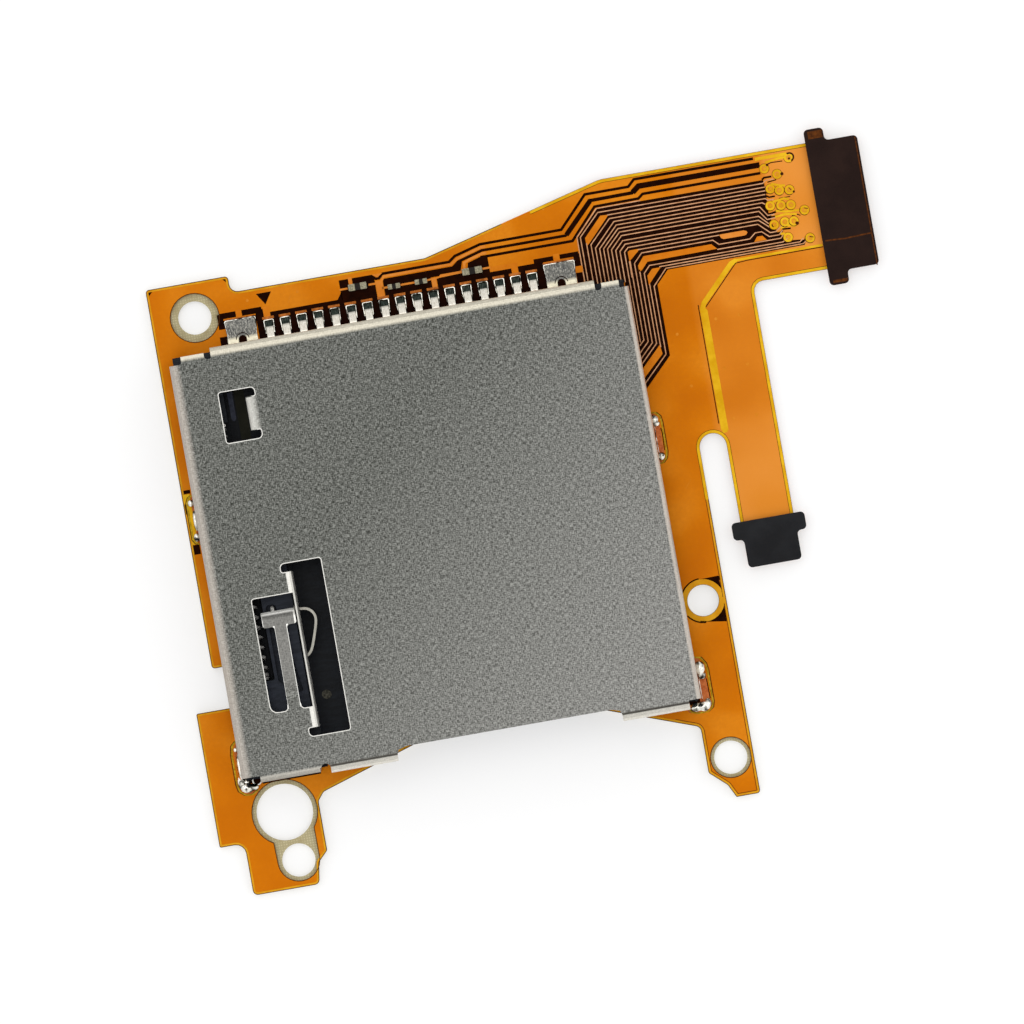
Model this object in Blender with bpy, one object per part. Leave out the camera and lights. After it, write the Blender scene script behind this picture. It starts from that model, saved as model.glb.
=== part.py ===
# Game card slot on a flexible circuit, with a push-push eject mechanism.
# Metres, +Z up. The card enters along +Y. The origin is on the underside of the stiffener,
# at the middle of the shield's width and 13.3 mm in front of the shield's back face.

import math

import bmesh
import bpy
from mathutils import Matrix, Vector

# Clearances
SEAT_GAP = 0.00002  # between pieces that touch in the real object
SIDE_GAP = 0.00005  # between the housing and the shield around it
RUNNING_GAP = 0.0001  # beside and under what slides

# Shield: one stamped and bent sheet. INSET is a distance from the shield's left or right face.
SHEET = 0.0002
BEND_RADIUS = 0.00042
SHIELD_WIDTH = 0.0278
SHIELD_BACK = 0.0133
SHIELD_HEIGHT = 0.0048
SIDE_WALL_BACK_END = 0.0126
SIDE_WALL_FRONT_END = -0.01235
CORNER_TAB_BACK = 0.01305
BACK_WALL_INSET_LEFT = 0.00255
BACK_WALL_INSET_RIGHT = 0.002
BACK_WALL_LIFT = 0.00076
CORNER_NOTCH_WIDTH = 0.0004
CORNER_NOTCH_DEPTH = 0.0004
CORNER_CUT_LEFT = 0.00075
CORNER_CUT_RIGHT = 0.00055
ENTRY_EDGE = -0.0121
ENTRY_INSET_LEFT = 0.0095
ENTRY_INSET_RIGHT = 0.0049
LIP_FRONT = -0.0129
LIP_RISE = 0.0003
LIP_BEND = -0.0125
FRONT_WALL_FACE = -0.01275
FRONT_WALL_INSET = 0.0011
FRONT_WALL_LENGTH = 0.0036
FRONT_NOTCH_INSET = 0.00505
FRONT_NOTCH_RADIUS = 0.0003
SIDE_WALL_LIFT = 0.00051
FOOT_LENGTH = 0.0024
REAR_FOOT_Y = 0.00335
FRONT_FOOT_Y = -0.0113

# Windows in the shield over the mechanism, by their insets from the shield's left face
REAR_WINDOW_INSET = 0.0026
REAR_WINDOW_WIDTH = 0.00155
REAR_WINDOW_FRONT = 0.0075
REAR_WINDOW_BACK = 0.01055
EAR_WIDTH = 0.0005
EAR_REACH = 0.0006
LOCK_WINDOW_INSET = 0.0069
LOCK_WINDOW_FRONT = -0.01055
LOCK_WINDOW_BACK = -0.00015
FLAP_INSET = 0.00512
FLAP_DEPTH = 0.0017
TAB_DEPTH = 0.0011
FINGER_WINDOW_INSET = 0.00242
FINGER_WINDOW_FRONT = -0.0088
FINGER_WINDOW_BACK = -0.00192
FINGER_STEM_INSET = 0.00345
FINGER_STEM_WIDTH = 0.00079
FINGER_TAPER = 0.00005
FINGER_HEAD_INSET = 0.0028
FINGER_HEAD_WIDTH = 0.00202
FINGER_HEAD_FRONT = -0.00375
FINGER_HEAD_BACK = -0.00285
FINGER_BEND = 0.00032
WINDOW_CORNER = 0.00015

# Card path in the housing
CARD_INSET_LEFT = 0.00515
CARD_INSET_RIGHT = 0.00075
FLOOR_THICKNESS = 0.0006
HOUSING_FRONT = -0.01195
POST_FRONT = -0.0125
BACK_BLOCK_FRONT = 0.0106
LEAD_IN = 0.0003
PIN_MARK_RADIUS = 0.0003
PIN_MARK_DEPTH = 0.00006
PIN_MARK_INSET = 0.0058
PIN_MARK_Y = -0.0083

# Contacts: a row of stamped springs, with a margin to the card's edge at each end
CONTACT_COUNT = 17
ROW_MARGIN_LEFT = 0.0011
ROW_MARGIN_RIGHT = 0.0048
CONTACT_WIDTH = 0.00042
CONTACT_THICKNESS = 0.00015
CONTACT_FOOT_END = 0.01432
CONTACT_FOOT_START = 0.0139
CONTACT_REST_HEIGHT = 0.00046
CONTACT_BUMP_Y = 0.0055
CONTACT_BUMP_RISE = 0.0012
CONTACT_TIP_Y = 0.00445
GROOVE_FRONT = 0.0041

# Hold-down plates beside the contact row
HOLD_DOWN_THICKNESS = 0.0002
HOLD_DOWN_BACK = 0.01472
HOLD_DOWN_FRONT = 0.0116
HOLD_DOWN_SHIFT = 0.0017  # from the row's first or last contact
HOLD_DOWN_WIDTH = 0.0018
HOLD_DOWN_HOLE = 0.00028

# Eject mechanism, by its insets from the shield's left face
CHANNEL_WALL = 0.0003
CHANNEL_SKIN = 0.00066
TROUGH_SKIN = 0.00106
SPRING_SEAT_Y = 0.00875
SPRING_RADIUS = 0.00098
SPRING_WIRE = 0.0002
SPRING_TURNS = 24
SPRING_END_TURNS = 1.5
SPRING_GAP = 0.00004
PEG_RADIUS = 0.0005
PEG_LENGTH = 0.0013
SLIDER_DROP = 0.001  # from the shield's inside to the slider's top
SLIDER_INSET = 0.00295
SLIDER_WIDTH = 0.00185
SHOULDER_Y = -0.00687
SLIDER_FRONT = -0.0093
SLIDER_BACK = 0.0054
SLIDER_STROKE = 0.005
ARM_LENGTH = 0.0014
ARM_REACH = 0.00105
ARM_DROP = 0.00071
BRIDGE_BACK = -0.0094
FOLLOWER_WIRE = 0.00024
FOLLOWER_PIVOT_INSET = 0.0038
FOLLOWER_PIVOT_Y = -0.0099
FOLLOWER_TIP_INSET = 0.00352
FOLLOWER_TIP_Y = -0.00262
FOLLOWER_SWING = 0.00078
FOLLOWER_LEG = 0.0013
TRACK_DEPTH = 0.0005
TRACK_WIDTH = 0.00042
RETURN_SHIFT = 0.00017
LOCK_STRIP = 0.00015
LOCK_STRIP_LIFT = 0.0005
LOCK_STRIP_BASE_BACK = 0.003
LOCK_BUMP_REACH = 0.00128
LOCK_BUMP_Y = -0.0036
LOCK_RISE_START = 0.0008
LOCK_RISE_END = 0.00052
LOCK_RISE_REACH = 0.0004
LOCK_CREST = 0.0001
LOCK_FALL_START = 0.0006
LOCK_FALL_END = 0.002
LOCK_FALL_REACH = 0.00075
LOCK_TIP = 0.0025

# Board: stiffener, flexible circuit and plug ends
# A side's distances run outwards from the shield's face on that side.
STIFFENER_THICKNESS = 0.0003
FLEX_THICKNESS = 0.00015
COVER_FILM = 0.00003
BARE_START = 0.0005
PLUG_THICKNESS = 0.0003
EDGE_REACH = 0.0007
BOARD_BACK = 0.0174
BACK_STRIP = 0.0164
BACK_STRIP_INSET = 0.0043
BACK_STRIP_END = 0.0161
BOARD_FRONT = -0.0116
FRONT_SLOPE_INSET_LEFT = 0.0122
FRONT_SLOPE_INSET_RIGHT = 0.0072
SLOPE_END = -0.0141
FOOT_REACH = 0.0021
FOOT_FRONT = -0.01623
FOOT_BACK = -0.0081
WAIST_INSET = 0.0003
WAIST_BACK = -0.0056
LEFT_LEG_FRONT = -0.0194
LEFT_LEG_REACH = 0.0006
LEFT_LEG_INSET = 0.0034
LEFT_LEG_SHOULDER = 0.0012
LEG_SHOULDER_Y = -0.0145
LEG_NARROW_Y = -0.0175
RIGHT_LEG_FRONT = -0.0186
RIGHT_LEG_REACH = 0.00255
RIGHT_LEG_INSET = 0.0003
RIGHT_LEG_TIP = 0.0011
RIGHT_LEG_CORNER = 0.0007
RIGHT_LEG_CORNER_Y = -0.0178
RIGHT_LEG_STEP_Y = -0.0169
STIFFENER_INSET = 0.0009
STIFFENER_LEG_BACK = 0.0015
STIFFENER_CORNER_INSET = 0.0046
STIFFENER_CORNER_Y = 0.01812
STIFFENER_CUT_Y = 0.0145
MAIN_TAIL_BACK = 0.01923
MAIN_TAIL_FRONT = 0.01157
MAIN_TAIL_INSET = 0.0006
MAIN_TAIL_SWEEP = 0.002
MAIN_PLUG_REACH = 0.01193
MAIN_PLUG_LENGTH = 0.00312
SIDE_TAIL_REACH = 0.00417
SIDE_TAIL_WIDTH = 0.00323
SIDE_PLUG_START = -0.00243
SIDE_PLUG_LENGTH = 0.0028
MAIN_EAR_LENGTH = 0.00117
MAIN_EAR_REACH = 0.0008
SIDE_EAR_LENGTH = 0.00107
SIDE_EAR_REACH = 0.0006
MAIN_PLUG_FRONT = 0.01135
MAIN_PLUG_BACK = 0.0192
SIDE_PLUG_SHIFT = 0.00003
PLUG_CORNER = 0.00025
PLUG_INSET = 0.00006
SLOT_BACK = 0.0031
TAIL_CORNER = 0.0006
SMALL_CORNER = 0.0001
EDGE_CORNER = 0.0002
LEG_CORNER = 0.0003
WIDE_CORNER = 0.0004
LARGE_CORNER = 0.0006

# Holes in the board: inset or reach of the middle from the shield's face, its y, hole radius in
# the stiffener and opening radius in the flex
REAR_HOLE_INSET = 0.00193
REAR_HOLE_Y = 0.01527
REAR_HOLE_RADIUS = 0.001
REAR_HOLE_OPENING = 0.00145
BIG_HOLE_INSET = 0.0021
BIG_HOLE_Y = -0.0148
BIG_HOLE_RADIUS = 0.0017
BIG_HOLE_OPENING = 0.00195
LEG_HOLE_INSET = 0.00243
LEG_HOLE_Y = -0.01777
LEG_HOLE_RADIUS = 0.001
LEG_HOLE_OPENING = 0.00124
KEYHOLE_NECK_LEFT = 0.00095
KEYHOLE_NECK_RIGHT = 0.00155
RIGHT_HOLE_REACH = 0.00117
RIGHT_HOLE_Y = -0.0162
RIGHT_HOLE_RADIUS = 0.001
RIGHT_HOLE_OPENING = 0.0012
SIDE_HOLE_Y = -0.00667
SIDE_HOLE_RADIUS = 0.00094

# Solder and chip parts
SOLDER_REACH = 0.0005
SOLDER_HEIGHT = 0.0005
SOLDER_LENGTH = 0.0028
CHIP_HEIGHT = 0.00028
LARGE_CHIP = (0.0011, 0.0004)
SMALL_CHIP = (0.00075, 0.0003)
WIDE_CHIP = (0.0012, 0.0004)
CHIP_1 = (-0.00205, 0.01543)
CHIP_2 = (0.0001, 0.01507)
CHIP_3 = (0.00174, 0.01507)
CHIP_4 = (0.00487, 0.01517)

# Levels and edges that follow from the sizes above
FLEX_BOTTOM = STIFFENER_THICKNESS + SEAT_GAP
FLEX_TOP = FLEX_BOTTOM + FLEX_THICKNESS
HOUSING_BOTTOM = FLEX_TOP + SEAT_GAP
FLOOR_TOP = HOUSING_BOTTOM + FLOOR_THICKNESS
SIDE_WALL_BOTTOM = HOUSING_BOTTOM + SIDE_WALL_LIFT
BACK_WALL_BOTTOM = HOUSING_BOTTOM + BACK_WALL_LIFT
SHIELD_INSIDE = SHIELD_HEIGHT - SHEET
HOUSING_TOP = SHIELD_INSIDE - SIDE_GAP
SHIELD_RIGHT = SHIELD_WIDTH / 2
SHIELD_LEFT = -SHIELD_RIGHT
BACK_WALL_LEFT = SHIELD_LEFT + BACK_WALL_INSET_LEFT
BACK_WALL_RIGHT = SHIELD_RIGHT - BACK_WALL_INSET_RIGHT
ENTRY_LEFT = SHIELD_LEFT + ENTRY_INSET_LEFT
ENTRY_RIGHT = SHIELD_RIGHT - ENTRY_INSET_RIGHT
FRONT_WALL_LEFT = SHIELD_LEFT + FRONT_WALL_INSET
FRONT_WALL_RIGHT = FRONT_WALL_LEFT + FRONT_WALL_LENGTH
FRONT_NOTCH_X = SHIELD_LEFT + FRONT_NOTCH_INSET
REAR_WINDOW_LEFT = SHIELD_LEFT + REAR_WINDOW_INSET
REAR_WINDOW_RIGHT = REAR_WINDOW_LEFT + REAR_WINDOW_WIDTH
LOCK_WINDOW_RIGHT = SHIELD_LEFT + LOCK_WINDOW_INSET
FLAP_FACE = SHIELD_LEFT + FLAP_INSET
FINGER_WINDOW_LEFT = SHIELD_LEFT + FINGER_WINDOW_INSET
FINGER_STEM_LEFT = SHIELD_LEFT + FINGER_STEM_INSET
FINGER_STEM_RIGHT = FINGER_STEM_LEFT + FINGER_STEM_WIDTH
FINGER_HEAD_LEFT = SHIELD_LEFT + FINGER_HEAD_INSET
FINGER_HEAD_RIGHT = FINGER_HEAD_LEFT + FINGER_HEAD_WIDTH
HOUSING_RIGHT = SHIELD_RIGHT - SHEET - SIDE_GAP
HOUSING_LEFT = -HOUSING_RIGHT
HOUSING_BACK = SHIELD_BACK - SHEET - SIDE_GAP
CARD_LEFT = SHIELD_LEFT + CARD_INSET_LEFT
CARD_RIGHT = SHIELD_RIGHT - CARD_INSET_RIGHT
PIN_MARK_X = SHIELD_LEFT + PIN_MARK_INSET
FIRST_CONTACT = CARD_LEFT + ROW_MARGIN_LEFT
LAST_CONTACT = CARD_RIGHT - ROW_MARGIN_RIGHT
CONTACT_PITCH = (LAST_CONTACT - FIRST_CONTACT) / (CONTACT_COUNT - 1)
CONTACT_LEVEL = HOUSING_BOTTOM + CONTACT_REST_HEIGHT
HOLD_DOWN_LEFT_X = FIRST_CONTACT - HOLD_DOWN_SHIFT
HOLD_DOWN_RIGHT_X = LAST_CONTACT + HOLD_DOWN_SHIFT
CHANNEL_LEFT = HOUSING_LEFT + CHANNEL_WALL
CHANNEL_FLOOR = HOUSING_BOTTOM + CHANNEL_SKIN
TROUGH_FLOOR = HOUSING_BOTTOM + TROUGH_SKIN
SLIDER_LEFT = SHIELD_LEFT + SLIDER_INSET
SLIDER_RIGHT = SLIDER_LEFT + SLIDER_WIDTH
SLIDER_TOP = SHIELD_INSIDE - SLIDER_DROP
SLIDER_BOTTOM = CHANNEL_FLOOR + SIDE_GAP
TROUGH_RIGHT = SLIDER_LEFT - RUNNING_GAP
SPRING_X = (CHANNEL_LEFT + TROUGH_RIGHT) / 2
SPRING_Z = TROUGH_FLOOR + SIDE_GAP + SPRING_RADIUS
LOCK_STRIP_BOTTOM = SLIDER_BOTTOM + LOCK_STRIP_LIFT
LOCK_STRIP_TOP = SHIELD_HEIGHT - FLAP_DEPTH - RUNNING_GAP * 2
FOLLOWER_PIVOT_X = SHIELD_LEFT + FOLLOWER_PIVOT_INSET
FOLLOWER_TIP_X = SHIELD_LEFT + FOLLOWER_TIP_INSET
FINGER_UNDERSIDE = SLIDER_TOP + SEAT_GAP + FOLLOWER_WIRE + SIDE_GAP
BOARD_LEFT = SHIELD_LEFT - EDGE_REACH
RIGHT_LEG_EDGE = SHIELD_RIGHT + RIGHT_LEG_REACH
RIGHT_LEG_INNER = SHIELD_RIGHT - RIGHT_LEG_INSET
MAIN_PLUG_START = SHIELD_RIGHT + MAIN_PLUG_REACH
MAIN_PLUG_END = MAIN_PLUG_START + MAIN_PLUG_LENGTH
SIDE_TAIL_LEFT = SHIELD_RIGHT + SIDE_TAIL_REACH
SIDE_TAIL_RIGHT = SIDE_TAIL_LEFT + SIDE_TAIL_WIDTH
SIDE_PLUG_END = SIDE_PLUG_START - SIDE_PLUG_LENGTH
REAR_HOLE = (SHIELD_LEFT + REAR_HOLE_INSET, REAR_HOLE_Y)
BIG_HOLE = (SHIELD_LEFT + BIG_HOLE_INSET, BIG_HOLE_Y)
LEG_HOLE = (SHIELD_LEFT + LEG_HOLE_INSET, LEG_HOLE_Y)
RIGHT_HOLE = (SHIELD_RIGHT + RIGHT_HOLE_REACH, RIGHT_HOLE_Y)
SIDE_HOLE = (SHIELD_RIGHT + RIGHT_HOLE_REACH, SIDE_HOLE_Y)

PARTS = "game_card_slot"
CUTTERS = "cutters"
FILL_SCALE = 1000  # outlines are filled at this scale, because a fill merges points 0.03 mm apart


def clear_scene():
    for thing in list(bpy.data.objects):
        bpy.data.objects.remove(thing)
    for name in (PARTS, CUTTERS):
        group = bpy.data.collections.new(name)
        bpy.context.scene.collection.children.link(group)


def material(name, colour, roughness, metallic=0.0):
    made = bpy.data.materials.new(name)
    made.use_nodes = True
    shader = made.node_tree.nodes["Principled BSDF"]
    shader.inputs["Base Color"].default_value = (*colour, 1.0)
    shader.inputs["Roughness"].default_value = roughness
    shader.inputs["Metallic"].default_value = metallic
    return made


def place(name, mesh, group, look=None, origin=(0, 0, 0)):
    """An object in a collection, with its origin at the given point of the world."""
    mesh.transform(Matrix.Translation(-Vector(origin)))
    made = bpy.data.objects.new(name, mesh)
    made.location = origin
    bpy.data.collections[group].objects.link(made)
    if look:
        mesh.materials.append(look)
    if group == CUTTERS:
        made.hide_render = True
        made.display_type = "WIRE"
    return made


def arc(centre, radius, start, end, steps=8):
    """Points along an arc, in degrees, both ends included."""
    angles = [math.radians(start + (end - start) * n / steps) for n in range(steps + 1)]
    return [(centre[0] + radius * math.cos(a), centre[1] + radius * math.sin(a)) for a in angles]


def circle(centre, radius, steps=32):
    return arc(centre, radius, 0, 360, steps)[:-1]


def box_outline(left, right, front, back):
    return [(left, front), (right, front), (right, back), (left, back)]


def rounded(corners, radius=0.0, steps=4):
    """An outline whose corners are rounded. A corner may give its own radius as a third number."""
    outline = []
    for n, corner in enumerate(corners):
        here = Vector(corner[:2])
        before = Vector(corners[n - 1][:2]) - here
        after = Vector(corners[(n + 1) % len(corners)][:2]) - here
        wanted = corner[2] if len(corner) > 2 else radius
        half_turn = before.angle(after) / 2
        reach = wanted / math.tan(half_turn)
        reach = min(reach, before.length * 0.49, after.length * 0.49)
        if reach < 1e-7 or half_turn > 1.56:
            outline.append(tuple(here))
            continue
        size = reach * math.tan(half_turn)
        middle = here + (before.normalized() + after.normalized()).normalized() * size / math.sin(half_turn)
        first = here + before.normalized() * reach - middle
        last = here + after.normalized() * reach - middle
        turn = first.angle_signed(last)
        for k in range(steps + 1):
            spoke = first.copy()
            spoke.rotate(Matrix.Rotation(-turn * k / steps, 2))
            outline.append(tuple(middle + spoke))
    return outline


def bent(points, radius, steps=4):
    """A path through the points, with its inner corners rounded."""
    path = [points[0]]
    for n in range(1, len(points) - 1):
        corner = rounded([points[n - 1], (*points[n], radius), points[n + 1]], 0.0, steps)
        path += corner[1:-1]
    return path + [points[-1]]


def ribbon(path, thickness):
    """The outline of a strip of even thickness that follows a path."""
    left, right = [], []
    for n, point in enumerate(path):
        here = Vector(point)
        along = Vector(path[min(n + 1, len(path) - 1)]) - here
        behind = here - Vector(path[max(n - 1, 0)])
        along = along if along.length > 0 else behind
        behind = behind if behind.length > 0 else along
        along.normalize()
        behind.normalize()
        mean = (along + behind).normalized()
        stretch = thickness / 2 / max(mean.dot(along), 0.3)
        side = Vector((-mean.y, mean.x)) * stretch
        left.append(tuple(here + side))
        right.append(tuple(here - side))
    return left + right[::-1]


# How a flat outline (u, v) and its thickness stand in the world, by the two axes of its plane
PLANES = {
    "XY": Matrix(((1, 0, 0), (0, 1, 0), (0, 0, 1))),
    "YZ": Matrix(((0, 0, 1), (1, 0, 0), (0, 1, 0))),
    "XZ": Matrix(((1, 0, 0), (0, 0, -1), (0, 1, 0))),
}


def plate_mesh(outlines, low, high, plane="XY"):
    """A flat outline, with any holes after it, given its thickness between two levels."""
    curve = bpy.data.curves.new("outline", "CURVE")
    curve.dimensions = "2D"
    curve.fill_mode = "BOTH"
    curve.extrude = (high - low) / 2 * FILL_SCALE
    for outline in outlines:
        spline = curve.splines.new("POLY")
        spline.points.add(len(outline) - 1)
        for point, (u, v) in zip(spline.points, outline):
            point.co = (u * FILL_SCALE, v * FILL_SCALE, 0, 1)
        spline.use_cyclic_u = True
    return curve_mesh(curve, Matrix.Translation((0, 0, (low + high) / 2)), plane)


def curve_mesh(curve, shift, plane="XY"):
    """A curve's solid as a welded mesh at real size."""
    guide = bpy.data.objects.new("guide", curve)
    bpy.context.scene.collection.objects.link(guide)
    graph = bpy.context.evaluated_depsgraph_get()
    mesh = bpy.data.meshes.new_from_object(guide.evaluated_get(graph))
    bpy.data.objects.remove(guide)
    work = bmesh.new()
    work.from_mesh(mesh)
    bmesh.ops.remove_doubles(work, verts=work.verts, dist=0.0001)
    bmesh.ops.transform(work, matrix=Matrix.Scale(1 / FILL_SCALE, 4), verts=work.verts)
    bmesh.ops.transform(work, matrix=shift, verts=work.verts)
    bmesh.ops.transform(work, matrix=PLANES[plane].to_4x4(), verts=work.verts)
    bmesh.ops.recalc_face_normals(work, faces=work.faces)
    work.to_mesh(mesh)
    work.free()
    return mesh


def plate(name, outlines, low, high, group, look=None, plane="XY", origin=(0, 0, 0)):
    # A plate in the XZ plane is thick along -Y, so its two levels change places and sign
    if plane == "XZ":
        low, high = -high, -low
    return place(name, plate_mesh(outlines, low, high, plane), group, look, origin)


def box(name, left, right, front, back, low, high, group=CUTTERS, look=None):
    work = bmesh.new()
    bmesh.ops.create_cube(work, size=1)
    size = Vector((right - left, back - front, high - low))
    middle = Vector((right + left, back + front, high + low)) / 2
    bmesh.ops.transform(work, matrix=Matrix.LocRotScale(middle, None, size), verts=work.verts)
    mesh = bpy.data.meshes.new(name)
    work.to_mesh(mesh)
    work.free()
    return place(name, mesh, group, look)


def rod(name, start, end, radius, steps=16, group=CUTTERS):
    """A round bar between two points."""
    work = bmesh.new()
    way = Vector(end) - Vector(start)
    bmesh.ops.create_cone(
        work, cap_ends=True, segments=steps, radius1=radius, radius2=radius, depth=way.length
    )
    turn = way.to_track_quat("Z", "Y")
    middle = (Vector(start) + Vector(end)) / 2
    bmesh.ops.transform(work, matrix=Matrix.LocRotScale(middle, turn, None), verts=work.verts)
    mesh = bpy.data.meshes.new(name)
    work.to_mesh(mesh)
    work.free()
    return place(name, mesh, group)


def dome(name, middle, size, group=CUTTERS):
    """An egg-shaped lump with the given half sizes."""
    work = bmesh.new()
    bmesh.ops.create_uvsphere(work, u_segments=14, v_segments=8, radius=1)
    bmesh.ops.transform(work, matrix=Matrix.LocRotScale(Vector(middle), None, Vector(size)), verts=work.verts)
    mesh = bpy.data.meshes.new(name)
    work.to_mesh(mesh)
    work.free()
    return place(name, mesh, group)


def combine(target, other, operation="DIFFERENCE"):
    change = target.modifiers.new(other.name, "BOOLEAN")
    change.operation = operation
    change.solver = "EXACT"
    change.object = other
    return target


def body_outline(right_side):
    """The board's edge from its front right, round the left side to the back strip, then the right side."""
    leg_left = SHIELD_LEFT - LEFT_LEG_REACH
    leg_right = SHIELD_LEFT + LEFT_LEG_INSET
    shoulder = leg_right + (LEFT_LEG_SHOULDER - EDGE_CORNER * 2)
    step = SLOPE_END - LEG_SHOULDER_Y
    foot_left = SHIELD_LEFT - FOOT_REACH
    waist = SHIELD_LEFT + WAIST_INSET
    strip_start = SHIELD_LEFT + BACK_STRIP_INSET
    left_edge = [
        (RIGHT_LEG_INNER, SLOPE_END, WIDE_CORNER),
        (SHIELD_RIGHT - FRONT_SLOPE_INSET_RIGHT, BOARD_FRONT, WIDE_CORNER),
        (SHIELD_LEFT + FRONT_SLOPE_INSET_LEFT, BOARD_FRONT, WIDE_CORNER),
        (shoulder + step, SLOPE_END + EDGE_CORNER / 2, WIDE_CORNER),
        (shoulder, LEG_SHOULDER_Y, LEG_CORNER),
        (shoulder, LEG_NARROW_Y, EDGE_CORNER),
        (leg_right + EDGE_CORNER, LEG_NARROW_Y - LARGE_CORNER, LEG_CORNER),
        (leg_right, LEFT_LEG_FRONT, LEG_CORNER),
        (leg_left, LEFT_LEG_FRONT, LEG_CORNER),
        (leg_left, FOOT_FRONT, LARGE_CORNER),
        (foot_left, FOOT_FRONT, SMALL_CORNER),
        (foot_left, FOOT_BACK, SMALL_CORNER),
        (waist, FOOT_BACK, SMALL_CORNER),
        (waist, WAIST_BACK, SMALL_CORNER),
        (BOARD_LEFT, WAIST_BACK, EDGE_CORNER),
        (BOARD_LEFT, BOARD_BACK, EDGE_CORNER),
        (strip_start, BOARD_BACK, EDGE_CORNER),
        (strip_start, BACK_STRIP, LARGE_CORNER),
        (SHIELD_LEFT + BACK_STRIP_END, BACK_STRIP, LARGE_CORNER),
    ]
    return left_edge + right_side


def right_leg():
    """The right leg's front end, up to the leg's inner edge."""
    tip = SHIELD_RIGHT + RIGHT_LEG_TIP
    return [
        (RIGHT_LEG_EDGE, RIGHT_LEG_FRONT, EDGE_CORNER),
        (tip, RIGHT_LEG_FRONT),
        (SHIELD_RIGHT + RIGHT_LEG_CORNER, RIGHT_LEG_CORNER_Y, WIDE_CORNER),
        (RIGHT_LEG_INNER, RIGHT_LEG_STEP_Y, EDGE_CORNER),
    ]


def plug_outline(along, start, end, low, high, ear_length, ear_reach):
    """A plug end with an ear at each side, from its root, growing along X or down -Y."""
    if along == "X":
        outline = [
            (start, high + ear_reach), (start + ear_length, high + ear_reach),
            (start + ear_length, high), (end, high), (end, low), (start + ear_length, low),
            (start + ear_length, low - ear_reach), (start, low - ear_reach),
        ]
    else:
        outline = [
            (high + ear_reach, start), (high + ear_reach, start - ear_length),
            (high, start - ear_length), (high, end), (low, end), (low, start - ear_length),
            (low - ear_reach, start - ear_length), (low - ear_reach, start),
        ]
    return outline


def inner_plug(outline, inset):
    """The flex end under a plug plate, a little inside the plate's edge."""
    work = []
    for n, point in enumerate(outline):
        here = Vector(point)
        before = (here - Vector(outline[n - 1])).normalized()
        after = (Vector(outline[(n + 1) % len(outline)]) - here).normalized()
        inward = Vector((before.y + after.y, -before.x - after.x)) * inset
        work.append(tuple(here + inward))
    return work


MAIN_PLUG = plug_outline(
    "X", MAIN_PLUG_START, MAIN_PLUG_END, MAIN_PLUG_FRONT, MAIN_PLUG_BACK, MAIN_EAR_LENGTH, MAIN_EAR_REACH
)
SIDE_PLUG = plug_outline(
    "Y", SIDE_PLUG_START, SIDE_PLUG_END, SIDE_TAIL_LEFT + SIDE_PLUG_SHIFT, SIDE_TAIL_RIGHT + SIDE_PLUG_SHIFT,
    SIDE_EAR_LENGTH, SIDE_EAR_REACH
)


def flex_outline():
    """The whole flexible circuit: the body, the main tail and the side tail."""
    main_end = inner_plug(MAIN_PLUG, PLUG_INSET)
    side_end = inner_plug(SIDE_PLUG, PLUG_INSET)
    slot_radius = (SIDE_TAIL_LEFT - RIGHT_LEG_EDGE) / 2
    slot_middle = (SIDE_TAIL_LEFT + RIGHT_LEG_EDGE) / 2
    slot = arc((slot_middle, SLOT_BACK - slot_radius), slot_radius, 0, 180, 12)
    right_side = [
        (SHIELD_RIGHT - MAIN_TAIL_INSET, MAIN_TAIL_BACK, MAIN_TAIL_SWEEP),
        (MAIN_PLUG_START, MAIN_TAIL_BACK),
    ]
    right_side += [(u, v, SMALL_CORNER) for u, v in main_end]
    right_side += [
        (MAIN_PLUG_START, MAIN_TAIL_FRONT),
        (SIDE_TAIL_RIGHT, MAIN_TAIL_FRONT, TAIL_CORNER),
        (SIDE_TAIL_RIGHT, SIDE_PLUG_START),
    ]
    right_side += [(u, v, SMALL_CORNER) for u, v in side_end]
    right_side += [(SIDE_TAIL_LEFT, SIDE_PLUG_START)]
    return rounded(body_outline(right_side + slot + right_leg()))


def stiffener_outline():
    """The stiffener: the body of the board without the tails."""
    right_edge = SHIELD_RIGHT - STIFFENER_INSET
    right_side = [
        (SHIELD_RIGHT - STIFFENER_CORNER_INSET, STIFFENER_CORNER_Y),
        (right_edge, STIFFENER_CUT_Y),
        (right_edge, STIFFENER_LEG_BACK, LEG_CORNER),
        (RIGHT_LEG_EDGE, STIFFENER_LEG_BACK, SMALL_CORNER),
    ]
    return rounded(body_outline(right_side + right_leg()))


def keyhole():
    """The opening in the flex round the big hole and the leg hole."""
    big_left = math.degrees(math.acos(-KEYHOLE_NECK_LEFT / BIG_HOLE_OPENING))
    big_right = math.degrees(math.acos(KEYHOLE_NECK_RIGHT / BIG_HOLE_OPENING))
    upper = arc(BIG_HOLE, BIG_HOLE_OPENING, -big_right, 360 - big_left, 28)
    lower = arc(LEG_HOLE, LEG_HOLE_OPENING, 180, 360, 16)
    return upper + lower


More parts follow.
